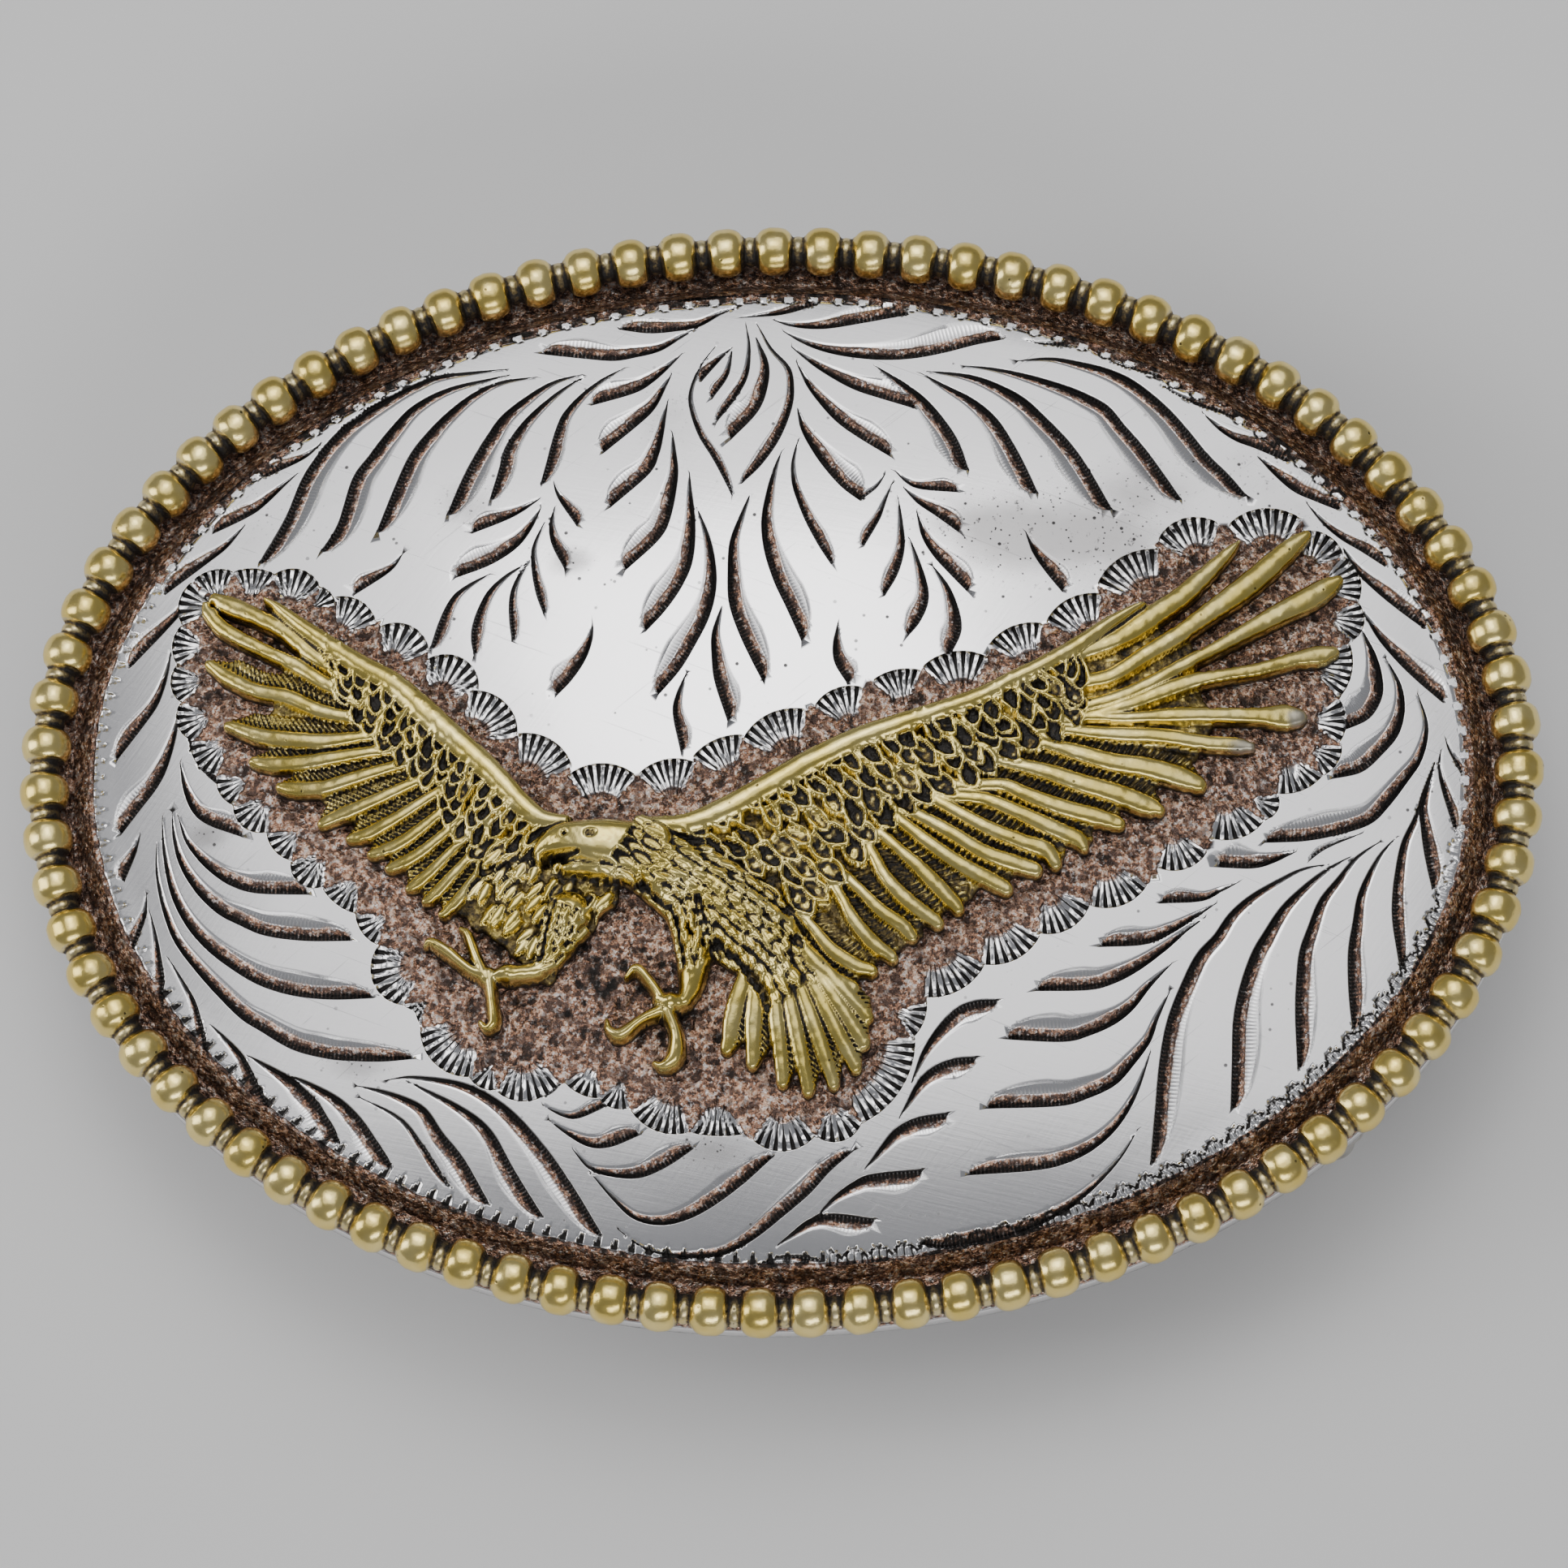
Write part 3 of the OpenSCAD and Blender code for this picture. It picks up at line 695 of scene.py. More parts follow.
# Rows of leaf cuts: width, the side of the soft slope, and the deep edge's
# points from the thin tip to the blunt end, x and y in turn.
SPRAYS: dict[str, tuple[tuple[Any, ...], ...]] = {
    "left_spray": (
        (1.3, LEFT, -36.2, 0.4, -36, -1.2, -35.4, -2.7, -34.4, -3.6, -32.2, -4.5),
        (1.5, LEFT, -36.2, -3, -35.8, -4.5, -35, -5.7, -34, -6.7, -32.8, -7.5, -31.2, -8, -28.1, -8.2),
        (1.7, LEFT, -36.6, -2.7, -36.5, -4.5, -36, -6.2, -35, -7.8, -33.7, -9.1, -32.3, -9.9, -30.7, -10.6,
            -28.3, -11, -25.4, -11.1),
        (1.6, LEFT, -37.2, -3, -37.1, -5.3, -36.6, -7.7, -35.7, -9.6, -34.4, -11.2, -32.8, -12.5,
            -31, -13.6, -28.9, -14.3, -26.6, -14.6, -24.1, -14.6),
        (1.5, LEFT, -37.5, -4.5, -37.5, -6.5, -37.1, -8.6, -36.3, -10.7, -35, -12.5, -33.6, -14.1,
            -32.2, -15.5, -31, -16.3, -29, -17.5, -27, -18.1, -25.5, -18.3, -23.5, -18.4, -21.6, -18.3),
        (0.8, RIGHT, -37.8, -8.8, -37.3, -10.3, -37, -11.7, -36.8, -13, -36.9, -14.3),
        (0.9, RIGHT, -38, -7.8, -38, -9.1, -38.7, -11.1),
        (1.0, RIGHT, -38.5, -4, -38.7, -5.1, -39.4, -6.9),
        (0.7, RIGHT, -36.6, -11.7, -35.7, -13, -34.9, -14.3, -34.4, -15.8, -34.0, -17.5),
        (1.0, RIGHT, -34, -15.8, -33, -16.6, -32, -17.6, -31.5, -18.4, -31, -19.4, -30.3, -20.7),
        (1.6, RIGHT, -31.6, -17.8, -30.5, -18.3, -28.9, -19.2, -28, -20, -27.3, -20.7, -26.8, -21.5,
            -26.3, -22.3, -26, -23.1),
        (1.4, RIGHT, -29.4, -19, -28.3, -19.3, -27, -19.9, -26, -20.5, -25.2, -21.2, -24.5, -22, -23.8, -23,
            -23.2, -23.9, -22.8, -24.6),
    ),
    "left_upper": (
        (1.0, RIGHT, -28.2, 21, -29.2, 20, -31.7, 18.8),
        (1.2, RIGHT, -29.6, 19, -31.5, 17, -32.6, 16.2, -34.7, 15.2),
        (1.2, RIGHT, -32.7, 15.7, -33.7, 14.3, -34.9, 13.3, -37.5, 11.3),
        (1.2, RIGHT, -35.7, 12, -36.3, 10.3, -37.3, 9, -39.5, 6.6),
        (1.1, RIGHT, -37, 7.7, -37.1, 6.1, -37.6, 4.3, -38.4, 3, -40.1, 0.7),
        (1.5, RIGHT, -36.3, 3.8, -36.5, 1.9, -37, 0, -37.6, -1.2, -38.5, -2.4, -39.7, -4),
        (1.0, LEFT, -35.8, 3, -35.7, 1.5, -35, 0, -33.8, -1.2),
        (1.1, RIGHT, -22.9, 13.3, -23.6, 12.2, -25.8, 10.7),
        (0.3, RIGHT, -26, 23.5, -28.5, 22),
        (1.7, LEFT, -17, 25.7, -20.8, 25.5, -22.4, 25, -24, 24.2, -26.3, 22.7, -27.6, 21.4, -28.6, 20,
            -29.4, 18.5, -30.3, 16, -31.8, 13.1),
        (1.6, LEFT, -16.7, 25.3, -20.3, 24.6, -22.6, 23.4, -24.1, 21.7, -25.2, 20.1, -26.2, 18.5, -27, 15.5,
            -28, 13.7),
        (1.5, LEFT, -15, 25.1, -17.2, 24.9, -18.8, 24.2, -20.3, 23, -21.6, 21.6, -22.7, 20, -23.5, 18,
            -24.6, 14.8),
        (1.5, LEFT, -12.2, 25.2, -14, 24.8, -15.6, 23.8, -17.1, 22.5, -18, 21.1, -18.8, 19.6, -19.5, 18,
            -20.3, 15.8),
        (1.1, LEFT, -12.1, 25, -13.5, 24.2, -15, 22.9, -16.1, 21.6, -16.9, 20.1, -17.2, 18.7, -17.7, 16.7),
        (1.0, LEFT, -9.6, 25.6, -11.1, 24.8, -12.4, 23.7, -13.4, 22.4, -13.9, 20.9, -14.2, 19.5,
            -14.6, 17.7),
    ),
    "top": (
        (1.2, RIGHT, -2.6, 29.8, -3.8, 29.2, -5.1, 28.4, -6.6, 28.1, -8.2, 28, -10, 28.3),
        (1.5, RIGHT, -5.1, 28.4, -6.3, 27.5, -7.5, 26.7, -9, 26.3, -10.3, 26.1, -12.1, 26.3, -14.8, 26.7),
        (0.8, LEFT, -2.5, 29, 0, 29.2, 2.2, 29.9),
        (0.3, RIGHT, -1.9, 30.8, -3.8, 30.5, -6.4, 30.3),
        (1.5, LEFT, -0.5, 28.8, 0.4, 28.4, 1.5, 28.2, 2.8, 28.2, 4.5, 28.5, 7.8, 29.2),
        (2.0, LEFT, 0.1, 28, 1.2, 27.2, 2.5, 26.6, 4.1, 26.2, 6.1, 26, 8, 26.1, 9.9, 26.5, 11.9, 27.1,
            13.6, 27.5),
        (0.5, LEFT, 14.8, 27.5, 15.7, 27.2, 17.8, 27),
        (1.5, LEFT, 0.6, 26.9, 1.7, 25.8, 3, 24.8, 4.5, 23.9, 6.1, 23.3, 8.2, 22.6),
        (1.5, LEFT, 0.9, 25.9, 1.5, 24.3, 2.4, 22.9, 3.5, 21.6, 4.9, 20.5, 6.7, 19.3),
        (1.8, LEFT, 1, 22.7, 1.2, 21.3, 1.9, 19.8, 2.8, 18.4, 3.8, 17.2, 4.9, 16.3),
        (0.4, RIGHT, 6.4, 18.1, 5.9, 17.2, 5, 16.4),
        (1.0, LEFT, 7, 18.3, 7.7, 17.5, 8.6, 17.1, 10.9, 16.9),
    ),
    "bud": (
        (0.6, LEFT, -4, 27.1, -5, 25.6, -5.6, 24, -5.6, 22.7, -5, 20.8, -4, 19, -2.9, 16.7),
        (0.9, RIGHT, -1.6, 28.7, -0.6, 26.9, 0.5, 25.6, 0.8, 24.3, 0.7, 22.7, 0, 20.6, -1.1, 18.8,
            -2.3, 17.5),
        (0.8, RIGHT, -3, 26.9, -3.9, 25.8, -4.9, 24.5),
        (0.7, RIGHT, -3, 26.9, -3.2, 25, -4.2, 23.3),
        (0.7, RIGHT, -2.2, 28.5, -1.9, 26.9, -2, 25, -2.7, 23.4, -3.9, 21.7),
        (1.6, RIGHT, -1.6, 27.7, -0.8, 25.9, -0.8, 24.2, -1.4, 22.4, -3, 20.5),
    ),
    "below_bud": (
        (1.4, RIGHT, -6.1, 26.5, -6.9, 25.5, -7.9, 24.5, -9, 23.8, -11.6, 23),
        (1.6, RIGHT, -6.7, 25.1, -7.1, 24, -7.7, 22.7, -8.7, 21.6, -10.8, 19.7),
        (1.5, RIGHT, -6.9, 23.2, -7.1, 21.1, -7.4, 19.5, -8, 18.2, -10.3, 16),
        (1.7, RIGHT, -6.6, 21.1, -6.3, 19.5, -6.2, 17.9, -6.6, 15.3, -7.3, 13.8, -9.3, 11.8),
        (1.7, RIGHT, -5.5, 18.3, -5.1, 15, -5.2, 12.5, -5.8, 10.8, -6.8, 9.2, -8, 7.8),
        (1.7, RIGHT, -5, 15.9, -4.2, 14, -3.8, 12, -3.8, 10.3, -4.2, 8.6, -5, 6.9, -5.9, 5.3, -7.2, 3.7),
        (1.5, LEFT, -1.7, 17, -2.4, 15.4, -3, 13.6, -3.1, 11.5, -3, 9.6, -2.4, 7.7, -1.6, 5.9, -0.9, 4.5),
        (1.6, LEFT, 0.1, 19.7, -0.4, 18.5, -0.8, 17, -1.1, 15, -0.9, 13, -0.3, 11, 0.5, 9.2, 1.4, 7.1),
        (0.9, LEFT, 1.1, 20.5, 0.7, 19, 0.7, 17.7, 1, 16.5, 1.6, 14.9, 2.4, 13.3, 3.2, 12),
        (1.4, LEFT, -3.4, 9.5, -4, 7.7, -4, 6.1, -3.8, 4.5, -3, 2),
        (1.0, LEFT, -5.5, 5.1, -6.1, 3.8, -6.3, 2.5, -5.8, 0.1),
        (1.5, RIGHT, -11.2, 8.4, -11.2, 7.4, -11.6, 6.1, -12.4, 4.8, -13.3, 3.8),
    ),
    "small_left": (
        (1.2, RIGHT, -14.6, 16.7, -15.6, 15.9, -16.7, 15.3, -18.7, 14.5),
        (1.7, RIGHT, -14.5, 16.1, -15, 14.8, -15.9, 13.5, -17.5, 12.4, -19.6, 11.6),
        (0.9, LEFT, -17.5, 11.8, -18.8, 11.2, -19.8, 10.4, -20.5, 9, -21.1, 7),
        (0.9, LEFT, -15.3, 12.4, -16.6, 11.7, -17.7, 10.6, -18.4, 9, -18.6, 7.7, -18.4, 6.5),
        (0.7, LEFT, -15, 12.8, -15.9, 11.5, -16.3, 10.3, -16.3, 8.8, -16.1, 7.3),
        (0.7, LEFT, -14.3, 15.1, -15, 13.5, -15, 12, -14.7, 10.4, -14.2, 9),
        (0.9, LEFT, -13.7, 16.1, -14, 14.9, -13.8, 13.6, -13, 12),
        (0.9, LEFT, -13.8, 17.8, -13.5, 16.7, -12.3, 14.8),
    ),
    "small_right": (
        (0.7, RIGHT, 6.8, 17.4, 6.5, 16.4, 6.1, 15.1, 5.1, 13.2),
        (0.9, RIGHT, 7.2, 16.5, 7.5, 14.8, 7.6, 13.2, 7.2, 11.5, 6.4, 10),
        (1.1, RIGHT, 7.9, 13.8, 8.5, 12.4, 9, 10.7, 9, 9.5, 8.5, 8.3, 7.8, 7.4),
        (1.3, RIGHT, 9.3, 12, 10.3, 10.7, 10.9, 9.1, 11, 7.7, 10.3, 6.1),
        (1.2, LEFT, 7.5, 17.2, 8.3, 16.2, 9.5, 15.3, 10.9, 14.2),
        (1.4, LEFT, 8.3, 15.6, 8.6, 14, 9.3, 12.7, 10.3, 11.5, 11.4, 10.3),
        (1.3, LEFT, 3.6, 8.3, 3.3, 7, 3.4, 5.7, 4.2, 4.3),
        (1.3, LEFT, 14.9, 14.3, 15.3, 13, 16.1, 11.7, 17.1, 10.4),
    ),
    "right_upper": (
        (1.6, RIGHT, 5.7, 25.6, 7.3, 24.6, 8.8, 23.4, 10, 21.9, 10.9, 20.3, 11.5, 18.4),
        (1.6, RIGHT, 8.5, 25.1, 10, 24.3, 11.8, 23.3, 13.2, 22, 14.2, 20.3, 15, 18.6, 15.7, 16.9),
        (1.9, RIGHT, 8.9, 25.2, 11, 25.1, 12.8, 24.6, 14.8, 23.5, 16.3, 22, 17.6, 20.5, 18.7, 18.8,
            20.2, 15.9),
        (1.7, RIGHT, 11.2, 25.6, 13, 25.5, 15, 25.1, 17, 24.5, 18.5, 23.9, 20, 23, 21, 21.7, 22.1, 20.3,
            23.1, 18.8, 24.4, 16.7),
        (1.9, RIGHT, 14.5, 26, 16.5, 26.3, 18.5, 26, 20, 25.6, 21.3, 25, 22.6, 24, 23.9, 22.7, 25, 21.3,
            26.1, 19.8, 27.3, 18.5, 28.4, 17.1),
        (0.4, LEFT, 19.6, 26.4, 21, 25.7, 23.4, 25),
        (0.7, LEFT, 23.1, 24.6, 24.2, 23.8, 25.3, 23.2, 27.6, 22.4),
        (1.2, LEFT, 25.7, 22.7, 26.6, 21.6, 27.7, 20.8, 29, 20.3, 31, 19.4),
        (1.8, LEFT, 29, 19.8, 30, 18.6, 31.2, 17.5, 32.5, 16.9, 34, 16.3),
        (1.0, LEFT, 32, 16.7, 32.9, 15.4, 34, 14.4, 35.3, 13.6, 36.8, 12.6),
        (1.4, LEFT, 34, 14.1, 34.8, 12.4, 36, 11.1, 37.4, 9.9, 39, 8.7),
        (1.5, LEFT, 35.1, 9.9, 36.1, 8, 37.3, 6.5, 38.5, 5.3, 40, 4),
    ),
    "right_middle": (
        (2.0, RIGHT, 35.2, 8.5, 36, 7, 36.4, 5.4, 36.3, 4.1, 35.5, 2.8, 34, 2),
        (1.6, RIGHT, 36.6, 6.7, 37.5, 5.1, 37.7, 3.5, 37.3, 1.9, 36.3, 0.6, 35, -0.6, 33.2, -1.1),
        (1.7, RIGHT, 38.5, 4.5, 39.1, 2.5, 38.7, 0.4, 37.7, -1.2, 36.6, -2.7, 35.5, -3.8, 33.7, -4.5,
            31.6, -5, 29.1, -5.2),
        (0.5, LEFT, 40.1, 1.7, 40.3, 0.9, 41, -0.5),
        (0.8, LEFT, 39.8, 1, 39.6, -0.1, 39.8, -1.5, 40.5, -4),
        (1.2, LEFT, 39.4, 0.1, 38.5, -2.4, 38.5, -4, 38.7, -5.7, 39.1, -7.7),
        (1.0, LEFT, 39.4, 0.2, 38.7, -1.5, 38.1, -3.2, 37.3, -4.9, 36.9, -6.7, 36.7, -8.3, 36.7, -9.9,
            37.1, -12.7),
        (0.4, RIGHT, 35, -4.4, 32.9, -5.4, 31.8, -6.2),
    ),
    "right_lower": (
        (1.6, LEFT, 32.9, -6.4, 31.3, -6.7, 29.7, -7.5, 28.1, -8.5, 26.9, -9.6, 26, -10.9, 25, -12,
            24.2, -13.5, 23.2, -16, 22.7, -18.5, 22.4, -21.5, 22.1, -24.6),
        (1.8, LEFT, 34.2, -5.9, 32.7, -6.7, 31.3, -7.8, 30, -9.1, 29, -10.6, 28.2, -12, 27.5, -14,
            27.1, -16, 27, -18.5, 26.9, -21.3),
        (1.4, LEFT, 36, -4.9, 34.5, -5.9, 33.4, -7.2, 32.3, -8.6, 31.6, -10.3, 31.1, -11.7, 30.9, -13.3,
            30.8, -15.5, 30.9, -18.8),
        (1.2, LEFT, 37.1, -4.5, 36, -5.6, 35.2, -6.9, 34.6, -8.3, 34.3, -9.9, 34, -11.7, 34, -14,
            34.2, -16.4),
        (1.7, RIGHT, 31, -5.7, 29.7, -6.4, 28.4, -6.8, 26.2, -6.8),
        (1.0, RIGHT, 27.5, -7.7, 26.5, -8.3, 25.3, -8.9, 22.8, -9.1),
        (1.3, RIGHT, 26.2, -9, 25, -9.9, 23.5, -10.9, 21.9, -11.6, 19.2, -11.8),
        (1.5, RIGHT, 25.5, -9.9, 24.5, -10.7, 23.2, -11.9, 21.5, -13.2, 20, -14, 18.5, -14.4, 15.4, -14.5),
        (1.8, RIGHT, 23.5, -12.7, 22.2, -14.2, 21.2, -15.5, 20.1, -16.4, 18.6, -17.1, 17, -17.5,
            13.6, -17.4),
        (1.7, RIGHT, 23.4, -14.3, 22.7, -16, 22.2, -17.4, 21.2, -18.8, 20.1, -20, 18.5, -20.8, 16.7, -21.3,
            12.4, -21.5),
        (1.3, RIGHT, 22.2, -18, 21.4, -20.5, 20.3, -22.4, 18.8, -23.8, 17, -24.7, 15.1, -25.1, 11.3, -25.4),
        (1.1, RIGHT, 21.4, -22.6, 20.4, -24.3, 19, -25.9, 17.4, -27.2, 15.4, -28.3, 13.5, -29, 9.9, -29.6,
            8.3, -29.3),
    ),
    "bottom": (
        (1.4, RIGHT, 8, -20, 8.6, -18.2, 9.6, -16.6, 10.7, -15.5, 11.9, -15.05, 13.2, -15),
        (1.4, RIGHT, 7.3, -22, 8.3, -20, 9.3, -19, 10.6, -18.5, 11.9, -18.4),
        (1.4, RIGHT, 5.2, -25.1, 6.1, -23.8, 7, -22.7, 8.3, -22, 10.2, -21.7),
        (1.4, RIGHT, 2.4, -27.8, 3.3, -26.7, 4.5, -25.8, 5.7, -25.3, 8.7, -25),
        (1.3, RIGHT, -0.1, -29.6, 0.9, -28.7, 2, -27.9, 3.3, -27.6, 5.9, -27.9),
        (0.5, RIGHT, -2, -30.9, 0, -30.1, 1.5, -30, 2.7, -30.3),
        (0.8, LEFT, -13.9, -21.2, -12.7, -21.9, -11.7, -22, -9.8, -21.2),
        (1.2, LEFT, -13.5, -22.1, -12.4, -23, -11.1, -23.7, -9.8, -23.7, -8, -23),
        (1.3, LEFT, -12.1, -23.8, -11.1, -25, -9.5, -25.5, -7.9, -25.5, -6.3, -24.8, -4.8, -23.8),
        (1.3, LEFT, -11.1, -25.1, -9.8, -26.7, -8.5, -27.9, -6.9, -28.3, -5.3, -28, -3.7, -27.2,
            -1.9, -25.9, -0.1, -24.3),
        (1.2, LEFT, -9.4, -28.5, -7.9, -29.6, -6.3, -30.1, -4.6, -30.2, -3, -30, -1.4, -29.2, 0.2, -28,
            2, -26.5, 3.2, -25.2, 4.6, -24),
        (0.5, LEFT, -16, -20.6, -14.8, -20.8, -13.5, -20.6, -12.8, -20),
    ),
    "lower_left": (
        (1.5, RIGHT, -23.2, -19.5, -21.5, -19.3, -18.5, -19.8, -16, -21.2, -13.8, -23.5, -12, -26,
            -10.3, -28.8),
        (1.3, RIGHT, -22, -19.6, -19, -21, -17, -22.5, -15.5, -25, -13.8, -27.7),
        (1.4, RIGHT, -25, -19.8, -23, -20.2, -21, -21.1, -19.8, -22.7, -18.5, -24.3, -17, -26.9),
        (0.6, RIGHT, -24.8, -20.5, -22.4, -21.7, -21.1, -23.2, -19.3, -25.9),
    ),
}


@dataclass
class Paint:
    """Relief and masks at a set of places, gathered as the marks are laid down."""

    x: Array
    y: Array
    height: Array = field(init=False)
    masks: dict[str, Array] = field(init=False)
    worked: Array = field(init=False)

    def __post_init__(self) -> None:
        """Starts flat and clean."""
        self.height = np.zeros(len(self.x))
        self.worked = np.zeros(len(self.x), bool)
        names = ("soot_and_shade", "copper", "stain", "chatter", "run")
        self.masks = {name: np.zeros(len(self.x)) for name in names}

    def near(self, points: Array, reach: float) -> Array:
        """Numbers of the places within a reach of the box round some points.

        Args:
            points: The points, one a row.
            reach: The reach in millimetres.

        Returns:
            The places' numbers.
        """
        low, high = points.min(0) - reach, points.max(0) + reach
        inside = (self.x > low[0]) & (self.x < high[0]) & (self.y > low[1]) & (self.y < high[1])
        return np.flatnonzero(inside)

    def deepen(self, where: Array, height: Array) -> None:
        """Lowers places to a height where it is lower than what is there."""
        self.height[where] = np.minimum(self.height[where], height)

    def stain(self, name: str, where: Array, amount: Array) -> None:
        """Raises a mask at some places to an amount."""
        self.masks[name][where] = np.maximum(self.masks[name][where], amount)


class LeafWork:
    """All the leaf cuts: where the mesh needs points for them, and what they do to it."""

    def __init__(self) -> None:
        """Reads the sprays."""
        self.cuts = [LeafCut(row[0], row[1], tuple(row[2:])) for rows in SPRAYS.values() for row in rows]

    def seeds(self) -> Array:
        """Points along and across every cut.

        Returns:
            The points, one a row.
        """
        made = []
        for cut in self.cuts:
            curve, walk = cut.curve(0.26)
            _, left = sides_of(curve)
            u = walk / walk[-1]
            w = cut.breadth(u)
            wall = np.minimum(0.15, 0.4 * w)
            rows = [0 * w - 0.15, 0 * w - 0.035, 0.5 * wall, wall, w + 0.01, w + 0.16]
            rows += [wall + share * (w - wall) for share in (0.16, 0.36, 0.58, 0.8)]
            for d in rows:
                made.append(curve + left * (d * cut.side)[:, None])
        return np.vstack(made)

    def cut_into(self, paint: Paint) -> None:
        """Carves every cut into the paint's places.

        Args:
            paint: The places, their relief and their masks.
        """
        for cut in self.cuts:
            curve, walk = cut.curve(0.08)
            along, left = sides_of(curve)
            where = paint.near(curve, cut.width + 0.3)
            p = np.column_stack([paint.x[where], paint.y[where]])
            gap = p[:, None, :] - curve[None, ::2, :]
            near = np.argmin((gap**2).sum(2), axis=1) * 2
            away = p - curve[near]
            d = (away * left[near]).sum(1) * cut.side
            s = walk[near] + (away * along[near]).sum(1)
            length = walk[-1]
            u = np.clip(s / length, 0, 1)
            w = cut.breadth(u)
            wall = np.minimum(0.15, 0.4 * w)
            deep = cut.depth(u, length)
            on = (s > -0.02) & (s < length + 0.02) & (d > -0.16) & (d < w)
            paint.worked[where[(s > -0.3) & (s < length + 0.3) & (d > -0.32) & (d < w + 0.34)]] = True
            slope = np.clip((d - wall) / np.maximum(w - wall, 1e-3), 0, 1)
            floor = np.where(d < wall, -deep * np.clip(d / wall, 0, 1), -deep * (1 - slope) ** 2)
            paint.deepen(where[on & (d > 0)], np.minimum(floor, 0)[on & (d > 0)])
            near_edge, far_edge = np.minimum(0.14, 0.32 * w), np.minimum(0.95, 0.85 * w)
            # The deep wall and the edge beside it are painted black: painted shade and dark reflection in the
            # wall, with sooty tarnish.
            dark = smooth_step(d, -0.03, 0.03) * (1 - smooth_step(d, near_edge, far_edge) ** 0.5)
            warm = smooth_step(d, 0.03, 0.2) * (1 - smooth_step(d, 0.55 * far_edge, 1.35 * far_edge))
            inside = on & (d > 0)
            paint.stain("soot_and_shade", where[inside], dark[inside])
            paint.stain("copper", where[inside], (warm * smooth_step(w, 0.2, 0.5) * 0.85)[inside])
            rough = cut.chatter * smooth_step(u, 0.35, 0.8) * smooth_step(d, 0.0, 0.1)
            rough *= 1 - smooth_step(slope, 0.6, 0.95)
            paint.stain("chatter", where[inside], rough[inside])
            paint.masks["run"][where[inside]] = s[inside]


# Ground and punches

# The scallops of fan punches round the eagle's ground, clockwise from the
# upper left: both ends and the middle of each arc, x and y in turn.
FANS: tuple[tuple[float, ...], ...] = (
    (-35.7, 12.2, -34.6, 12.75, -33.4, 12.6), (-33.2, 12.6, -32, 12.7, -30.8, 12.3),
    (-30.7, 12.3, -29.2, 12.5, -28, 11.4), (-27.9, 11.3, -27.4, 11, -27, 10.2),
    (-26.8, 10.6, -25.5, 10.3, -24.5, 9), (-24, 8.6, -22.3, 8.5, -21.2, 7.0),
    (-21.2, 6.3, -19.6, 6.5, -18.1, 4.6), (-18.5, 4.2, -16.7, 3.6, -15.7, 1.5),
    (-15.5, 1.4, -13.9, 1.1, -12.4, -0.6), (-12.4, -1.2, -10.5, -0.6, -8.6, -1.3),
    (-8.2, -1.2, -6.6, -0.4, -5, -0.6), (-5, -0.2, -3.7, 0.8, -2.2, 1.1),
    (-2, 0.9, -0.5, 2.4, 1.6, 2.7), (2.3, 3, 3.5, 4.0, 5, 4.1),
    (5.8, 4.6, 7.1, 5.2, 8.5, 5.2), (8.8, 5.5, 10.6, 6.4, 12.5, 6.1),
    (12.8, 7, 14.2, 8.1, 15.8, 8.3), (16.2, 8.5, 17.5, 9.9, 19.3, 10.3),
    (19.3, 11, 20.7, 12.7, 22.8, 13.3), (23, 14, 24.6, 15.4, 26.5, 15.2),
    (27.3, 15.1, 29.2, 16.2, 31.5, 15.7), (31.8, 14.8, 33.2, 14.6, 34.1, 13.4),
    (34.2, 13.2, 35.1, 11.9, 35, 10.4), (35, 10.2, 35.3, 9, 34.6, 7.8),
    (34.4, 7.5, 34.5, 5.8, 33.8, 4.2), (33.7, 3.9, 34.1, 2.6, 33.7, 1.3),
    (33.8, 1, 33.5, -0.1, 32.8, -0.8), (32.6, -0.9, 31.5, -1.8, 30, -2.1),
    (29.9, -2.2, 29.9, -3.1, 29.3, -3.7), (29, -3.9, 27.7, -4.9, 26, -5),
    (25.6, -5.9, 24.4, -6.9, 22.8, -6.9), (22, -8, 20.6, -9.2, 18.8, -9.3),
    (18.6, -9.2, 17.4, -10.7, 15.7, -11), (15.6, -11.2, 14.2, -12.6, 12.3, -12.9),
    (12.3, -13, 10.8, -14.5, 8.9, -14.9), (8.9, -15.3, 8.7, -16.4, 8.1, -17.3),
    (8.2, -17.5, 7.4, -20.3, 5.2, -22.3), (5, -22.4, 3.9, -23.4, 2.5, -23.2),
    (2.2, -23.2, 0.4, -24, -1.3, -23.4), (-2, -23, -3.5, -23.1, -5, -22.9),
    (-5.3, -22.9, -7, -22.8, -8.5, -21.7), (-8.8, -21.4, -9.7, -21.4, -10.5, -20.8),
    (-10.5, -20.8, -11.5, -20.6, -12.5, -19.9), (-13, -19.9, -14.7, -20.9, -16.5, -20.4),
    (-16.7, -20.2, -17.5, -20.1, -18.2, -19.5), (-18.2, -19.4, -20.2, -18.7, -21.2, -16.6),
    (-21.3, -16.2, -21.5, -15.6, -22.3, -15.1), (-22.5, -15, -24.1, -13.6, -23.8, -11.5),
    (-24, -11.3, -24.8, -10.6, -25.2, -9.6), (-25.3, -9.4, -26.4, -8.8, -27.2, -7.9),
    (-27.3, -7.7, -28.6, -7.5, -29.2, -6.2), (-29.3, -6, -30.2, -5.4, -30.7, -4.4),
    (-30.8, -4.2, -32.2, -3.8, -32.8, -2.6), (-32.9, -2.4, -33.7, -1.6, -33.9, -0.6),
    (-34, -0.4, -35.2, 0.4, -35.5, 1.6), (-35.5, 1.8, -36.4, 2.8, -36.3, 4.1),
    (-36.3, 4.3, -36.9, 5.4, -36.6, 6.6), (-36.6, 6.8, -36.9, 8, -36.4, 9.2),
    (-36.4, 9.4, -36.6, 10.8, -35.9, 12),
)


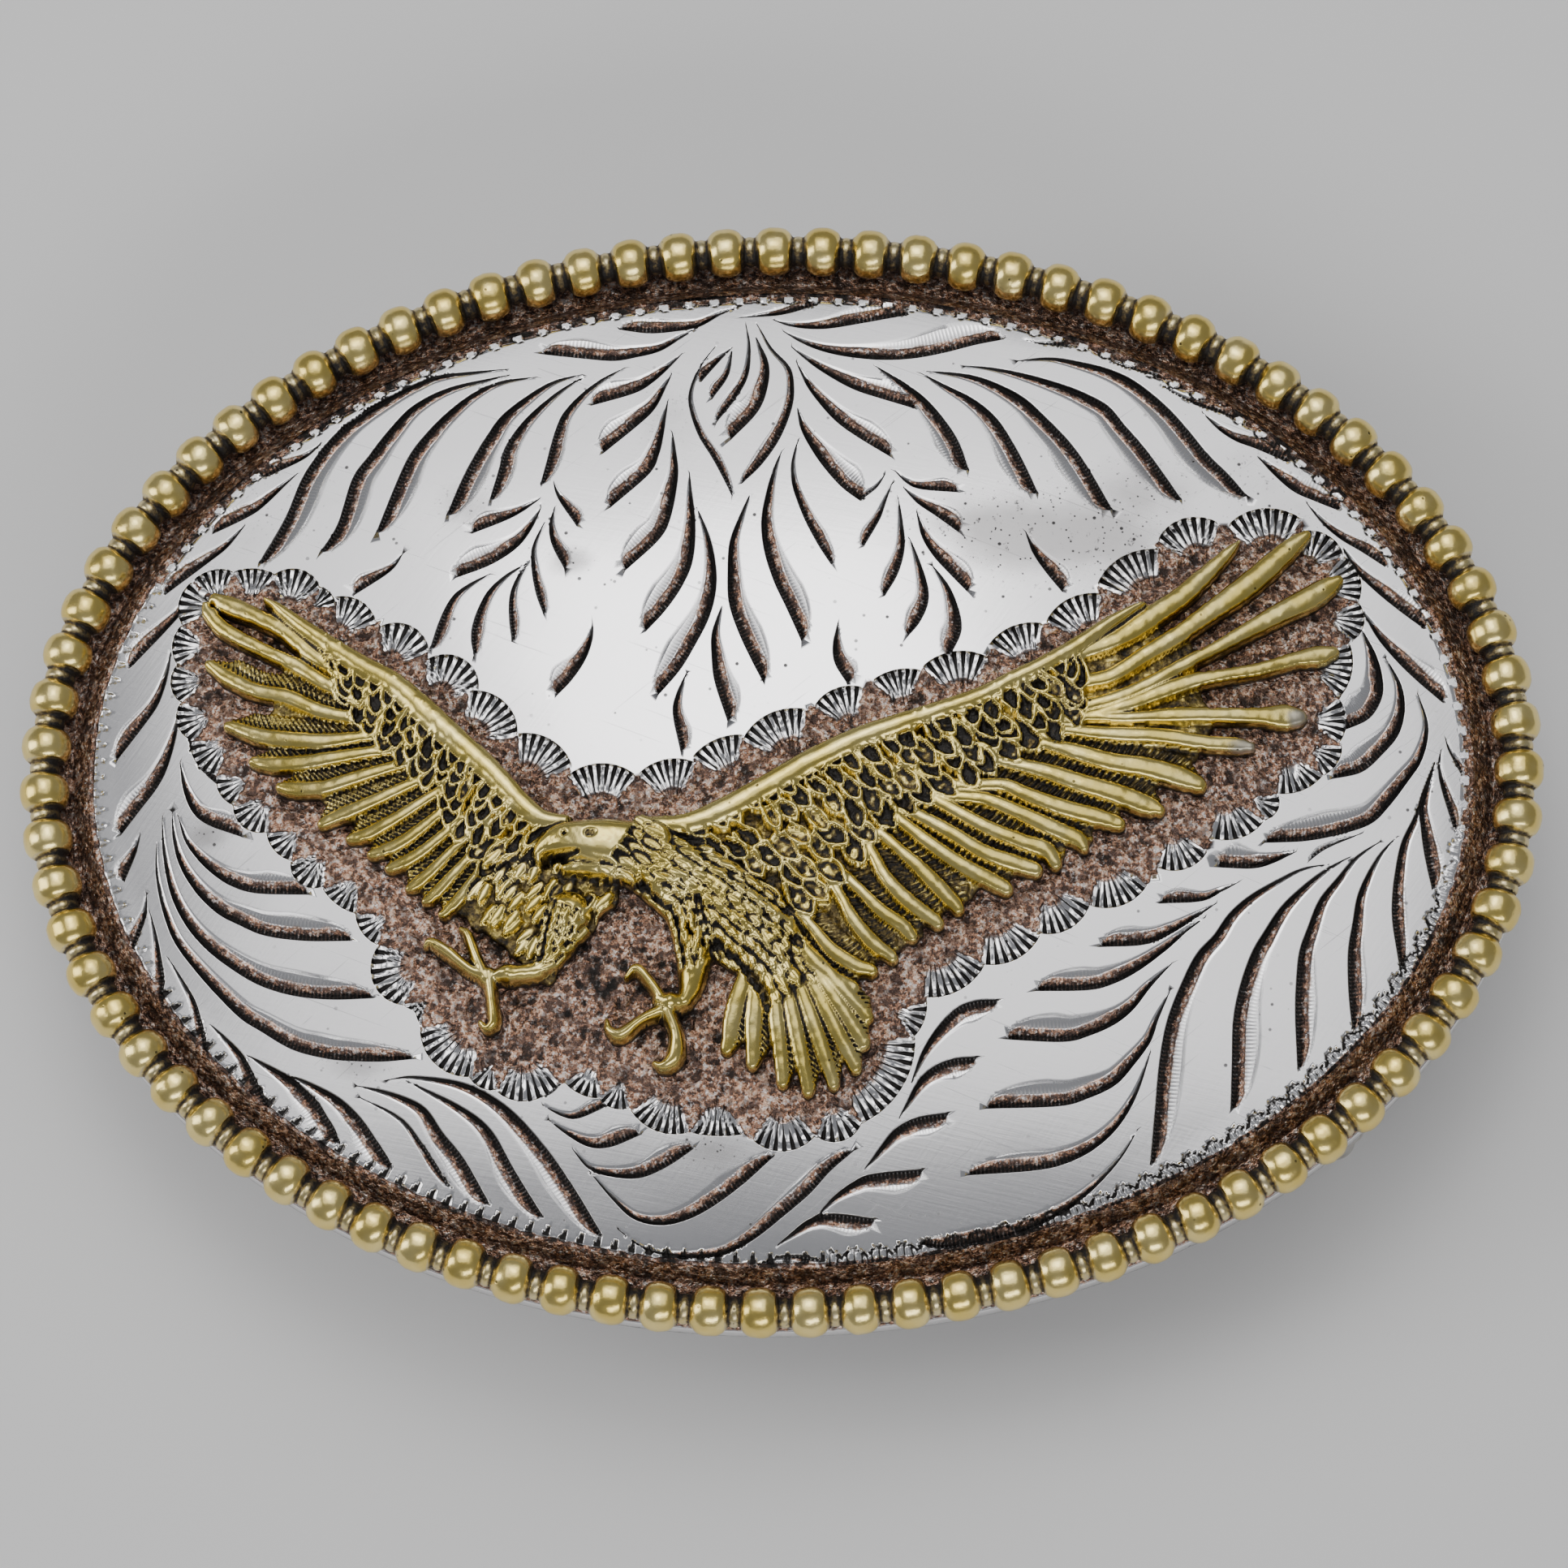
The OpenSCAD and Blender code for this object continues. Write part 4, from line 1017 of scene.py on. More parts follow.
class FanPunch:
    """One scallop of tapered strokes that run in from a crisp arc."""

    def __init__(self, row: tuple[float, ...]) -> None:
        """Works out the fan's focus and its arc in polar form.

        Args:
            row: The arc's start, middle and end, x and y in turn.
        """
        self.start, self.middle, self.end = np.array(row).reshape(3, 2)
        run = self.end - self.start
        self.chord = float(np.linalg.norm(run))
        inward = np.array([run[1], -run[0]]) / self.chord
        self.focus = (self.start + self.end) / 2 + inward * max(1.15, 0.75 * self.chord)
        arms = [p - self.focus for p in (self.start, self.middle, self.end)]
        self.angles = [0.0] + [self._turn(arms[0], a) for a in arms[1:]]
        self.radii = [float(np.linalg.norm(a)) for a in arms]
        self.first = arms[0]
        self.strokes = max(3, round(self.chord / 0.5))
        self.reach = 2.2

    @staticmethod
    def _turn(a: Array, b: Array) -> float:
        """Clockwise angle from one arm to another."""
        return float(math.atan2(a[1] * b[0] - a[0] * b[1], a[0] * b[0] + a[1] * b[1]))

    def radius(self, turn: Array) -> Array:
        """The arc's radius at some angles, by the parabola through its three points.

        Args:
            turn: Clockwise angles from the arc's start.

        Returns:
            A radius an angle.
        """
        (a, b, c), (ra, rb, rc) = self.angles, self.radii
        return (
            ra * (turn - b) * (turn - c) / ((a - b) * (a - c))
            + rb * (turn - a) * (turn - c) / ((b - a) * (b - c))
            + rc * (turn - a) * (turn - b) / ((c - a) * (c - b))
        )

    def point(self, share: Array, inward: Array) -> Array:
        """Places at shares of the way along the arc and distances inward from it.

        Args:
            share: Shares of the way along the arc.
            inward: Distances inward from it.

        Returns:
            The places, one a row.
        """
        turn = share * self.angles[2]
        base = math.atan2(self.first[1], self.first[0])
        r = self.radius(turn) - inward
        return self.focus + np.column_stack([r * np.cos(base - turn), r * np.sin(base - turn)])

    def outline(self) -> Array:
        """The arc as a few points."""
        share = np.linspace(0, 1, 7)
        return self.point(share, 0 * share)

    def seeds(self) -> Array:
        """Points along and between the strokes.

        Returns:
            The points, one a row.
        """
        share = np.linspace(0, 1, 6 * self.strokes + 1)
        rows = [0.0, 0.05, 0.2, 0.42, 0.7, 1.05, 1.45, 1.9, -0.08]
        return np.vstack([self.point(share, 0 * share + r) for r in rows])

    def polar(self, x: Array, y: Array) -> tuple[Array, Array]:
        """Shares of the way along the arc, and distances inward from it, of some places.

        Args:
            x: Places along X.
            y: Places along Y.

        Returns:
            The shares and the distances.
        """
        px, py = x - self.focus[0], y - self.focus[1]
        ax, ay = self.first
        turn = np.arctan2(ay * px - ax * py, ax * px + ay * py)
        return turn / self.angles[2], self.radius(turn) - np.hypot(px, py)

    def holds(self, x: Array, y: Array) -> Array:
        """Whether places lie among the strokes."""
        share, r = self.polar(x, y)
        return (share > -0.03) & (share < 1.03) & (r > -0.06) & (r < self.reach)

    def strike(self, paint: Paint, grain: Grain) -> None:
        """Presses the strokes into the paint's places.

        Args:
            paint: The places, their relief and their masks.
            grain: Noise that roughens the strokes.
        """
        where = paint.near(np.array([self.start, self.middle, self.end, self.focus]), 0.3)
        share, r = self.polar(paint.x[where], paint.y[where])
        on = (share >= -0.005) & (share <= 1.005) & (r > -1e-3) & (r < self.reach)
        cell = share * self.strokes
        off = np.abs(cell - np.floor(cell) - 0.5) * 2
        taper = np.clip(1 - r / self.reach, 0, 1)
        half = 0.26 + 0.52 * taper**1.2
        stroke = np.clip(1 - off / half, 0, 1)
        step = smooth_step(r, -0.001, 0.05)
        low = 0.04 + 0.11 * np.clip(r / 1.4, 0, 1)
        height = -step * (low + (0.07 + 0.17 * taper) * np.minimum(stroke * 1.6, 1))
        height += 0.02 * grain.at(paint.x[where], paint.y[where], 0.22) * step
        paint.height[where[on]] = np.minimum(paint.height[where[on]], height[on])
        # The notch by the arc and the strokes' dark lines are painted shade in the sunk marks, with sooty
        # tarnish.
        notch = (1 - smooth_step(r, 0.4, 0.9)) * smooth_step(r, 0.0, 0.04) * smooth_step(stroke, 0.1, 0.4)
        line = smooth_step(stroke, 0.2, 0.6) * 0.95 * (1 - 0.5 * smooth_step(r, 1.5, 2.1))
        paint.masks["soot_and_shade"][where[on]] = np.maximum(notch, line)[on]
        paint.masks["copper"][where[on]] = (0.15 + 0.75 * smooth_step(r, 1.1, 2.1))[on]


class EagleGround:
    """The rough ground round the eagle, with its border of fan punches."""

    def __init__(self) -> None:
        """Sets out the fans and the ground's outline."""
        self.fans = [FanPunch(row) for row in FANS]
        self.outline = np.vstack([fan.outline() for fan in self.fans])
        self.grain = Grain(11)

    def inside(self, x: Array, y: Array) -> Array:
        """Whether places lie within the ground's outline."""
        return within(self.outline, x, y)

    def seeds(self, covered: Covered) -> Array:
        """Points of the ground, sparse where the eagle covers it.

        Args:
            covered: Function of x and y that says where the eagle lies.

        Returns:
            The points.
        """
        step, under_eagle = 0.21, 0.04
        rng = np.random.default_rng(5)
        gx, gy = np.meshgrid(np.arange(-37.5, 36, step), np.arange(-24.5, 17, step))
        x = gx.ravel() + rng.uniform(-0.3, 0.3, gx.size) * step
        y = gy.ravel() + rng.uniform(-0.3, 0.3, gx.size) * step
        keep = self.inside(x, y) & (~covered(x, y) | (rng.random(len(x)) < under_eagle))
        for fan in self.fans:
            keep &= ~fan.holds(x, y)
        made = [np.column_stack([x[keep], y[keep]])]
        for fan in self.fans:
            p = fan.seeds()
            made.append(p[~covered(p[:, 0], p[:, 1])])
        return np.vstack(made)

    def roughen(self, paint: Paint) -> None:
        """Lowers and roughens the ground, then strikes the fans.

        Args:
            paint: The places, their relief and their masks.
        """
        where = np.flatnonzero(self.inside(paint.x, paint.y))
        x, y = paint.x[where], paint.y[where]
        g = self.grain
        crumb = 0.11 * g.at(x, y, 0.42) + 0.07 * g.at(x, y, 0.8) + 0.03 * g.at(y, x, 0.23)
        paint.height[where] = -0.2 + crumb
        # Painted shade darkens the ground's low spots, and a painted shadow lies round the eagle's legs and
        # claws.
        low = smooth_step(-crumb, 0.0, 0.08)
        feet_shadow = np.exp(-(((x + 9.5) / 6.5) ** 2 + ((y + 14.5) / 4.0) ** 2))
        paint.masks["soot_and_shade"][where] = np.clip(0.42 * low + 0.16 * feet_shadow + 0.1 * g.at(x, y, 1.1), 0, 1)
        paint.masks["copper"][where] = np.clip(0.92 + 0.15 * g.at(x, y, 2.5), 0, 1)
        paint.masks["chatter"][where] = 0
        for fan in self.fans:
            fan.strike(paint, g)


class ToothKind(Enum):
    """The kinds of edge punch, by what their marks look like."""

    # Rayed scallops with a dark outline, short dents, and rows of small raised studs
    WEDGE = "wedge"
    NOTCH = "notch"
    STUD = "stud"


@dataclass(frozen=True)
class EdgeTeeth:
    """The border of small punches along the plate's edge."""

    wedge_pitch: float = 1.53
    notch_pitch: float = 1.05
    stud_pitch: float = 1.56
    grain: Grain = field(default_factory=lambda: Grain(23))
    oval: Oval = field(default_factory=lambda: Oval(FORM.dome_a, FORM.dome_b))

    def seeds(self) -> Array:
        """Points along the edge, in rows inwards.

        Returns:
            The points, one a row.
        """
        walked = np.arange(0, self.oval.length, 0.15)
        x, y = self.oval.place(walked)
        normal = np.column_stack([x / FORM.dome_a**2, y / FORM.dome_b**2])
        normal /= np.linalg.norm(normal, axis=1)[:, None]
        edge = np.column_stack([x, y])
        rows = [0.1, 0.24, 0.38, 0.52, 0.68, 0.84, 1.0, 1.2]
        return np.vstack([edge - normal * r for r in rows])

    def kind_at(self, x: Array, y: Array, kind: ToothKind) -> Array:
        """Whether the border has that kind of mark beside some places.

        Args:
            x: Places along X.
            y: Places along Y.
            kind: The kind of mark.

        Returns:
            True where it has.
        """
        notch = ((y < -8) & (x < 3)) | ((x < -36) & (y < 12))
        stud = (y > 12) | ((x > 36) & (y > -4))
        return {ToothKind.NOTCH: notch, ToothKind.STUD: stud, ToothKind.WEDGE: ~notch & ~stud}[kind]

    def strike(self, paint: Paint) -> None:
        """Presses the teeth into the paint's places.

        Args:
            paint: The places, their relief and their masks.
        """
        inward, walked = self.oval.inward(paint.x, paint.y)
        where = np.flatnonzero(inward < 1.3)
        e, s = inward[where], walked[where]
        x, y = paint.x[where], paint.y[where]
        wedge, notch, stud = (self.kind_at(x, y, kind) for kind in ToothKind)
        height = np.zeros(len(e))
        waver = 0.1 * self.grain.at(x, y, 0.5)
        reach = np.where(stud, 0.62, 0.3) + waver
        ring = 1 - smooth_step(e, reach - 0.1, reach + 0.12)
        copper = 0.95 * ring
        off = 2 * ((s / self.wedge_pitch) % 1 - 0.5)
        crest = 1.05 - 0.5 * off**2
        wedge = (e < crest) & wedge
        rays = np.abs(((off * 1.7 + 0.5) % 1) - 0.5) * 2
        outline = (1 - smooth_step(np.abs(crest - e - 0.09), 0.05, 0.16)) * (0.55 + 0.45 * np.abs(off))
        height -= wedge * (0.1 + 0.12 * (1 - rays) + 0.1 * outline)
        # The dark outlines and rays, the dents, the rings round the studs and the band along the edge are
        # painted shade with sooty tarnish.
        soot_and_shade = np.where(wedge, np.maximum(outline, 0.75 * smooth_step(1 - rays, 0.55, 0.95)), 0.0)
        off = np.abs(2 * ((s / self.notch_pitch) % 1 - 0.5))
        dent = notch * (1 - smooth_step(off - 0.55 * (1.15 - e), -0.1, 0.1))
        dent = dent * smooth_step(e, 0.2, 0.34) * (1 - smooth_step(e, 0.8, 1.0))
        height -= dent * 0.2
        soot_and_shade = np.maximum(soot_and_shade, 0.8 * dent)
        off = 2 * ((s / self.stud_pitch) % 1 - 0.5)
        bump = np.hypot(off / 0.42, (e - 0.5) / 0.24)
        on_bump = stud & (bump < 1)
        height = np.where(stud & ~on_bump, height - 0.1 * ring, height)
        copper = np.where(on_bump, 0.2, copper)
        shade = np.exp(-(((bump - 1.3) / 0.28) ** 2)) * stud * (0.45 + 0.5 * smooth_step(e, 0.4, 0.7))
        soot_and_shade = np.maximum(soot_and_shade, shade)
        soot_and_shade = np.maximum(soot_and_shade, np.where(on_bump, 0, ring * (0.36 + 0.36 * self.grain.at(x, y, 0.5))))
        height -= ring * ~on_bump * (0.05 + 0.05 * self.grain.at(x, y, 0.3))
        faint = np.where((x < -37) | (x > 39.5), 0.5, 1.0)
        paint.height[where] += height * faint
        paint.stain("soot_and_shade", where, soot_and_shade * faint)
        paint.stain("copper", where, copper)


# The plate

# Smoky stains on the silver: middle, half sizes and strength.
STAINS = (
    (16, 14.2, 8, 3.4, 1.0), (22, 17, 5, 3, 0.6), (-19, 16.5, 2.5, 2, 0.55), (-34.5, -4.4, 1.6, 1, 0.8),
    (-4, -24, 3, 1.4, 0.7), (-26, -14, 4, 2, 0.25), (25, -24, 8, 3, 0.25), (-30, 17, 7, 5, 0.3),
    (30, 18, 7, 5, 0.4), (0, 3.5, 8, 3, 0.25), (12, 13, 3, 2, 0.6), (-12.6, 12.5, 1.6, 1.2, 0.7),
    (-25, -18.6, 2.5, 1.2, 0.6), (13, -12.8, 3, 1.5, 0.3), (-7, 22, 3, 5, 0.35), (38.5, -2, 2, 8, 0.25),
)


@dataclass
class EngravedPlate:
    """The domed silver plate: its engraved face, and its flange, back and hollow."""

    form: Form
    ground: EagleGround
    leaves: LeafWork
    teeth: EdgeTeeth
    background: float = 0.55
    closest: float = 0.055
    edge_points: int = 1500
    around: int = 1200
    wave: Grain = field(default_factory=lambda: Grain(41))

    def face_points(self, covered: Covered) -> Array:
        """Chooses the face's vertices, close together along the marks.

        Args:
            covered: Function of x and y that says where the eagle lies.

        Returns:
            Places in millimetres.
        """
        rng = np.random.default_rng(3)
        g = self.background
        gx, gy = np.meshgrid(np.arange(-42, 42, g), np.arange(-31, 31, g))
        x = gx.ravel() + rng.uniform(-0.25, 0.25, gx.size) * g
        y = gy.ravel() + rng.uniform(-0.25, 0.25, gx.size) * g
        blank = Paint(x, y)
        self.leaves.cut_into(blank)
        blank_points = np.column_stack([x, y])[~(self.ground.inside(x, y) | blank.worked)]
        oval = self.teeth.oval
        edge = np.column_stack(oval.place(np.linspace(0, oval.length, self.edge_points, endpoint=False)))
        cuts = self.leaves.seeds()
        cuts = cuts[~self.ground.inside(cuts[:, 0], cuts[:, 1])]
        points = np.vstack([edge, self.teeth.seeds(), self.ground.seeds(covered), cuts, blank_points])
        inward, _ = oval.inward(points[:, 0], points[:, 1])
        points = points[(inward > 0.05) | (np.arange(len(points)) < len(edge))]
        return self.thin(points)

    def thin(self, points: Array) -> Array:
        """Drops each point that lies too close to an earlier one.

        Args:
            points: Places, the ones to keep first.

        Returns:
            The places that are left, in the same order.
        """
        size = self.closest
        for shift in (0.0, 0.5):
            cell = np.floor(points / size + shift).astype(np.int64)
            _, first = np.unique(cell[:, 0] * CELLS_A_ROW + cell[:, 1], return_index=True)
            points = points[np.sort(first)]
        return points

    def relief(self, x: Array, y: Array) -> tuple[Array, Paint]:
        """Works out the engraved face at some places.

        Args:
            x: Places along X, in millimetres.
            y: Places along Y.

        Returns:
            The heights, and the paint with its masks.
        """
        paint = Paint(x, y)
        self.leaves.cut_into(paint)
        self.ground.roughen(paint)
        self.teeth.strike(paint)
        for cx, cy, rx, ry, much in STAINS:
            fall = np.exp(-(((x - cx) / rx) ** 2 + ((y - cy) / ry) ** 2))
            paint.masks["stain"] = np.maximum(paint.masks["stain"], much * fall)
        inward, _ = self.teeth.oval.inward(x, y)
        waver = 0.035 * self.wave.at(x, y, 9) + 0.008 * self.wave.at(y, x, 3.5)
        rho = np.minimum(np.hypot(x / self.form.dome_a, y / self.form.dome_b), 1.2)
        shrink = np.where(rho > 1, 1 / np.maximum(rho, 1e-6), 1)
        z = self.form.dome_z(x * shrink, y * shrink)
        return z + paint.height + waver * smooth_step(inward, 0, 2), paint

    def build_face(self, covered: Covered, material: bpy.types.Material) -> None:
        """Builds the engraved face.

        Args:
            covered: Function of x and y that says where the eagle lies.
            material: The face's material.
        """
        points = self.face_points(covered)
        flat = [Vector((float(x), float(y))) for x, y in points]
        made, _, faces, *_ = delaunay_2d_cdt(flat, [], [], 0, 1e-6, False)
        xy = np.array([tuple(v) for v in made])
        z, paint = self.relief(xy[:, 0], xy[:, 1])
        e = self.closest * 0.5
        slope = []
        for dx, dy in ((e, 0.0), (0.0, e)):
            ahead, _ = self.relief(xy[:, 0] + dx, xy[:, 1] + dy)
            behind, _ = self.relief(xy[:, 0] - dx, xy[:, 1] - dy)
            slope.append((ahead - behind) / (2 * e))
        normals = np.column_stack([-slope[0], -slope[1], np.ones(len(z))])
        normals /= np.linalg.norm(normals, axis=1)[:, None]
        tri = np.array([f for f in faces if len(f) == 3])
        middle = xy[tri].mean(1)
        tri = tri[np.hypot(middle[:, 0] / self.form.dome_a, middle[:, 1] / self.form.dome_b) < 1]
        points3 = np.column_stack([xy, z])
        make_piece("plate_face", points3, [tri], material, "plate", paint.masks, normals)

    def body_rows(self) -> list[tuple[float, float, float, float, float]]:
        """Rings of the plate's body, from the dome's edge over the flange to the hollow's middle.

        Returns:
            Half length, width to length, height, roughness, and dirty tone with painted shade of each ring.
        """
        f = self.form
        k, flange_k = f.dome_b / f.dome_a, f.flange_b / f.flange_a
        low, top, far = f.flange_low, f.flange_top, f.flange_a
        rows = []
        for i in range(9):
            t = i / 8
            rough = 0.10 * math.sin(math.pi * min(t * 1.2, 1))
            rows.append((f.dome_a - 0.06 + 1.26 * t, k, f.bead_z - 0.03 - 1.17 * t, rough, 1.0))
        flange = (
            (far - 0.18, top, 0.6), (far - 0.05, top - 0.05, 0.4), (far, top - 0.2, 0.3),
            (far, low + 0.2, 0.2), (far - 0.05, low + 0.05, 0.1), (far - 0.2, low, 0.0),
        )
        rows += [(a, flange_k, z, 0.0, dirt_and_shade) for a, z, dirt_and_shade in flange]
        under = ((43.4, low, 0.0), (41.42, low, 0.0), (41.27, low + 0.1, 0.1), (40.86, 10.3, 0.4))
        rows += [(a, k, z, 0.0, dirt_and_shade) for a, z, dirt_and_shade in under]
        inner_r = f.cap_r - f.sheet_t
        for i in range(1, 16):
            r = 40.8 * (1 - i / 16)
            rows.append((r, k, f.cap_z + math.sqrt(inner_r**2 - r**2), 0.0, 0.15))
        return rows

    def build_body(self, material: bpy.types.Material) -> None:
        """Builds the bevel, the flange, the back and the hollow under the dome.

        Args:
            material: The body's material.
        """
        grain, around = Grain(67), self.around
        turn = np.linspace(0, math.tau, around, endpoint=False)
        rows = self.body_rows()
        points, soot_and_shade, copper = [], [], []
        for a, ratio, z, rough, dirt_and_shade in rows:
            x, y = a * np.cos(turn), a * ratio * np.sin(turn)
            crumb = grain.at(x, y, 0.35) + 0.6 * grain.at(y, x, 0.8)
            points.append(np.column_stack([x, y, z + rough * crumb]))
            # The black mask here is painted shade with dirty tone, strongest on the bevel under the beads.
            soot_and_shade.append(np.clip(dirt_and_shade * (0.1 + 0.3 * crumb), 0, 1))
            copper.append(np.full(around, min(dirt_and_shade * 1.1, 1.0)))
        count = len(rows)
        cells = np.arange(around)
        quads = []
        for j in range(count - 1):
            a, b = j * around + cells, j * around + (cells + 1) % around
            quads.append(np.column_stack([a, a + around, b + around, b]))
        top = points[-1][:, 2].mean() + 0.02
        points.append(np.array([[0.0, 0.0, top]]))
        last = (count - 1) * around
        fan = np.column_stack([last + cells, np.full(around, count * around), last + (cells + 1) % around])
        xyz = np.vstack(points)
        soot_and_shade.append(np.zeros(1))
        copper.append(np.zeros(1))
        masks = {"soot_and_shade": np.concatenate(soot_and_shade), "copper": np.concatenate(copper)}
        masks["stain"] = np.clip(0.45 + 0.4 * grain.at(xyz[:, 0], xyz[:, 1], 7), 0, 1) * (xyz[:, 2] < 10.2)
        make_piece("plate_body", xyz, [np.vstack(quads), fan], material, "plate", masks)


# The beads


@dataclass
class BeadBorder:
    """The gilt wire of barrel-shaped beads round the plate."""

    form: Form
    count: int = 83
    phase: float = -0.076
    sides: int = 30
    half: float = 1.08
    drawn_pitch: float = 2.97

    def profile(self) -> Array:
        """Rows of the way along the wire, radius, and grimy tone with painted shade, from one neck's middle
        to the next.

        Returns:
            The rows.
        """
        end = [
            (0.0, 1.5, 0.0), (0.26, 1.49, 0.0), (0.5, 1.44, 0.0), (0.7, 1.35, 0.0), (0.86, 1.24, 0.0),
            (0.98, 1.1, 0.08), (self.half, 0.98, 0.3), (1.16, 0.88, 0.55), (1.26, 0.88, 0.3),
            (1.38, 0.92, 0.1),
        ]
        neck = [(-self.drawn_pitch / 2, 0.93, 0.08)]
        return np.array(neck + [(-v, r, g) for v, r, g in reversed(end[1:])] + end)

    def build(self, material: bpy.types.Material) -> None:
        """Builds the border.

        Args:
            material: Its material.
        """
        oval = Oval(self.form.rim_a, self.form.rim_b)
        pitch = oval.length / self.count
        rng = np.random.default_rng(9)
        turn = np.linspace(0, math.tau, self.sides, endpoint=False)
        prof = self.profile()
        floor = self.form.flange_top + 0.05
        points, recess, grey_patch = [], [], []
        for i in range(self.count):
            middle = (i + self.phase) * pitch
            stretch = rng.uniform(0.95, 1.03)
            lean = rng.uniform(-0.03, 0.03)
            for v, r, grime_and_shade in prof:
                if abs(v) < self.half:
                    v = v * stretch + lean
                x, y = oval.place(middle + v * pitch / self.drawn_pitch)
                out = np.array([x / oval.a**2, y / oval.b**2])
                out /= np.linalg.norm(out)
                bulge = 1 + rng.uniform(-0.012, 0.012) * (grime_and_shade < 0.5)
                rr = r * bulge
                px = x + out[0] * rr * np.cos(turn)
                py = y + out[1] * rr * np.cos(turn)
                pz = self.form.bead_z + rr * np.sin(turn)
                points.append(np.column_stack([px, py, np.maximum(pz, floor)]))
                # Painted shade with grimy tone: the necks are darker by the profile, and so are the inner
                # side near them and the lower inner side. The lower half of each bead and its ends turn
                # greyer.
                low = smooth_step(-np.sin(turn), 0.12, 0.62)
                inner = smooth_step(-np.cos(turn), -0.2, 0.7) * (abs(v) > 0.9)
                recess.append(np.clip(grime_and_shade + 0.45 * inner + 0.25 * low * (np.cos(turn) < 0), 0, 1))
                grey_patch.append(np.clip(low + 0.55 * (abs(v) > 0.95), 0, 1))
        rings = len(points)
        cells = np.arange(self.sides)
        quads = []
        for j in range(rings):
            a = j * self.sides + cells
            b = j * self.sides + (cells + 1) % self.sides
            n = ((j + 1) % rings) * self.sides
            quads.append(np.column_stack([a, a - j * self.sides + n, b - j * self.sides + n, b]))
        masks = {"recess": np.concatenate(recess), "grey_patch": np.concatenate(grey_patch)}
        faces = [np.vstack(quads)[:, ::-1]]
        make_piece("bead_border", np.vstack(points), faces, material, "bead_edge", masks)


# The eagle


class Vane(Enum):
    """How the side of a feather beside its ridge is worked."""

    SMOOTH = "smooth"
    LADDER = "ladder"
    HATCH = "hatch"


@dataclass(frozen=True)
class Feather:
    """A flight feather: a polished ridge along its middle line, and a hatched vane beside it.

    path holds x, y and the ridge's half width in turn, from root to tip. vane is
    the vane's width, to the left of the path if positive.
    """

    path: tuple[float, ...]
    vane: float = 0.0
    work: Vane = Vane.SMOOTH
    lift: float = 1.25


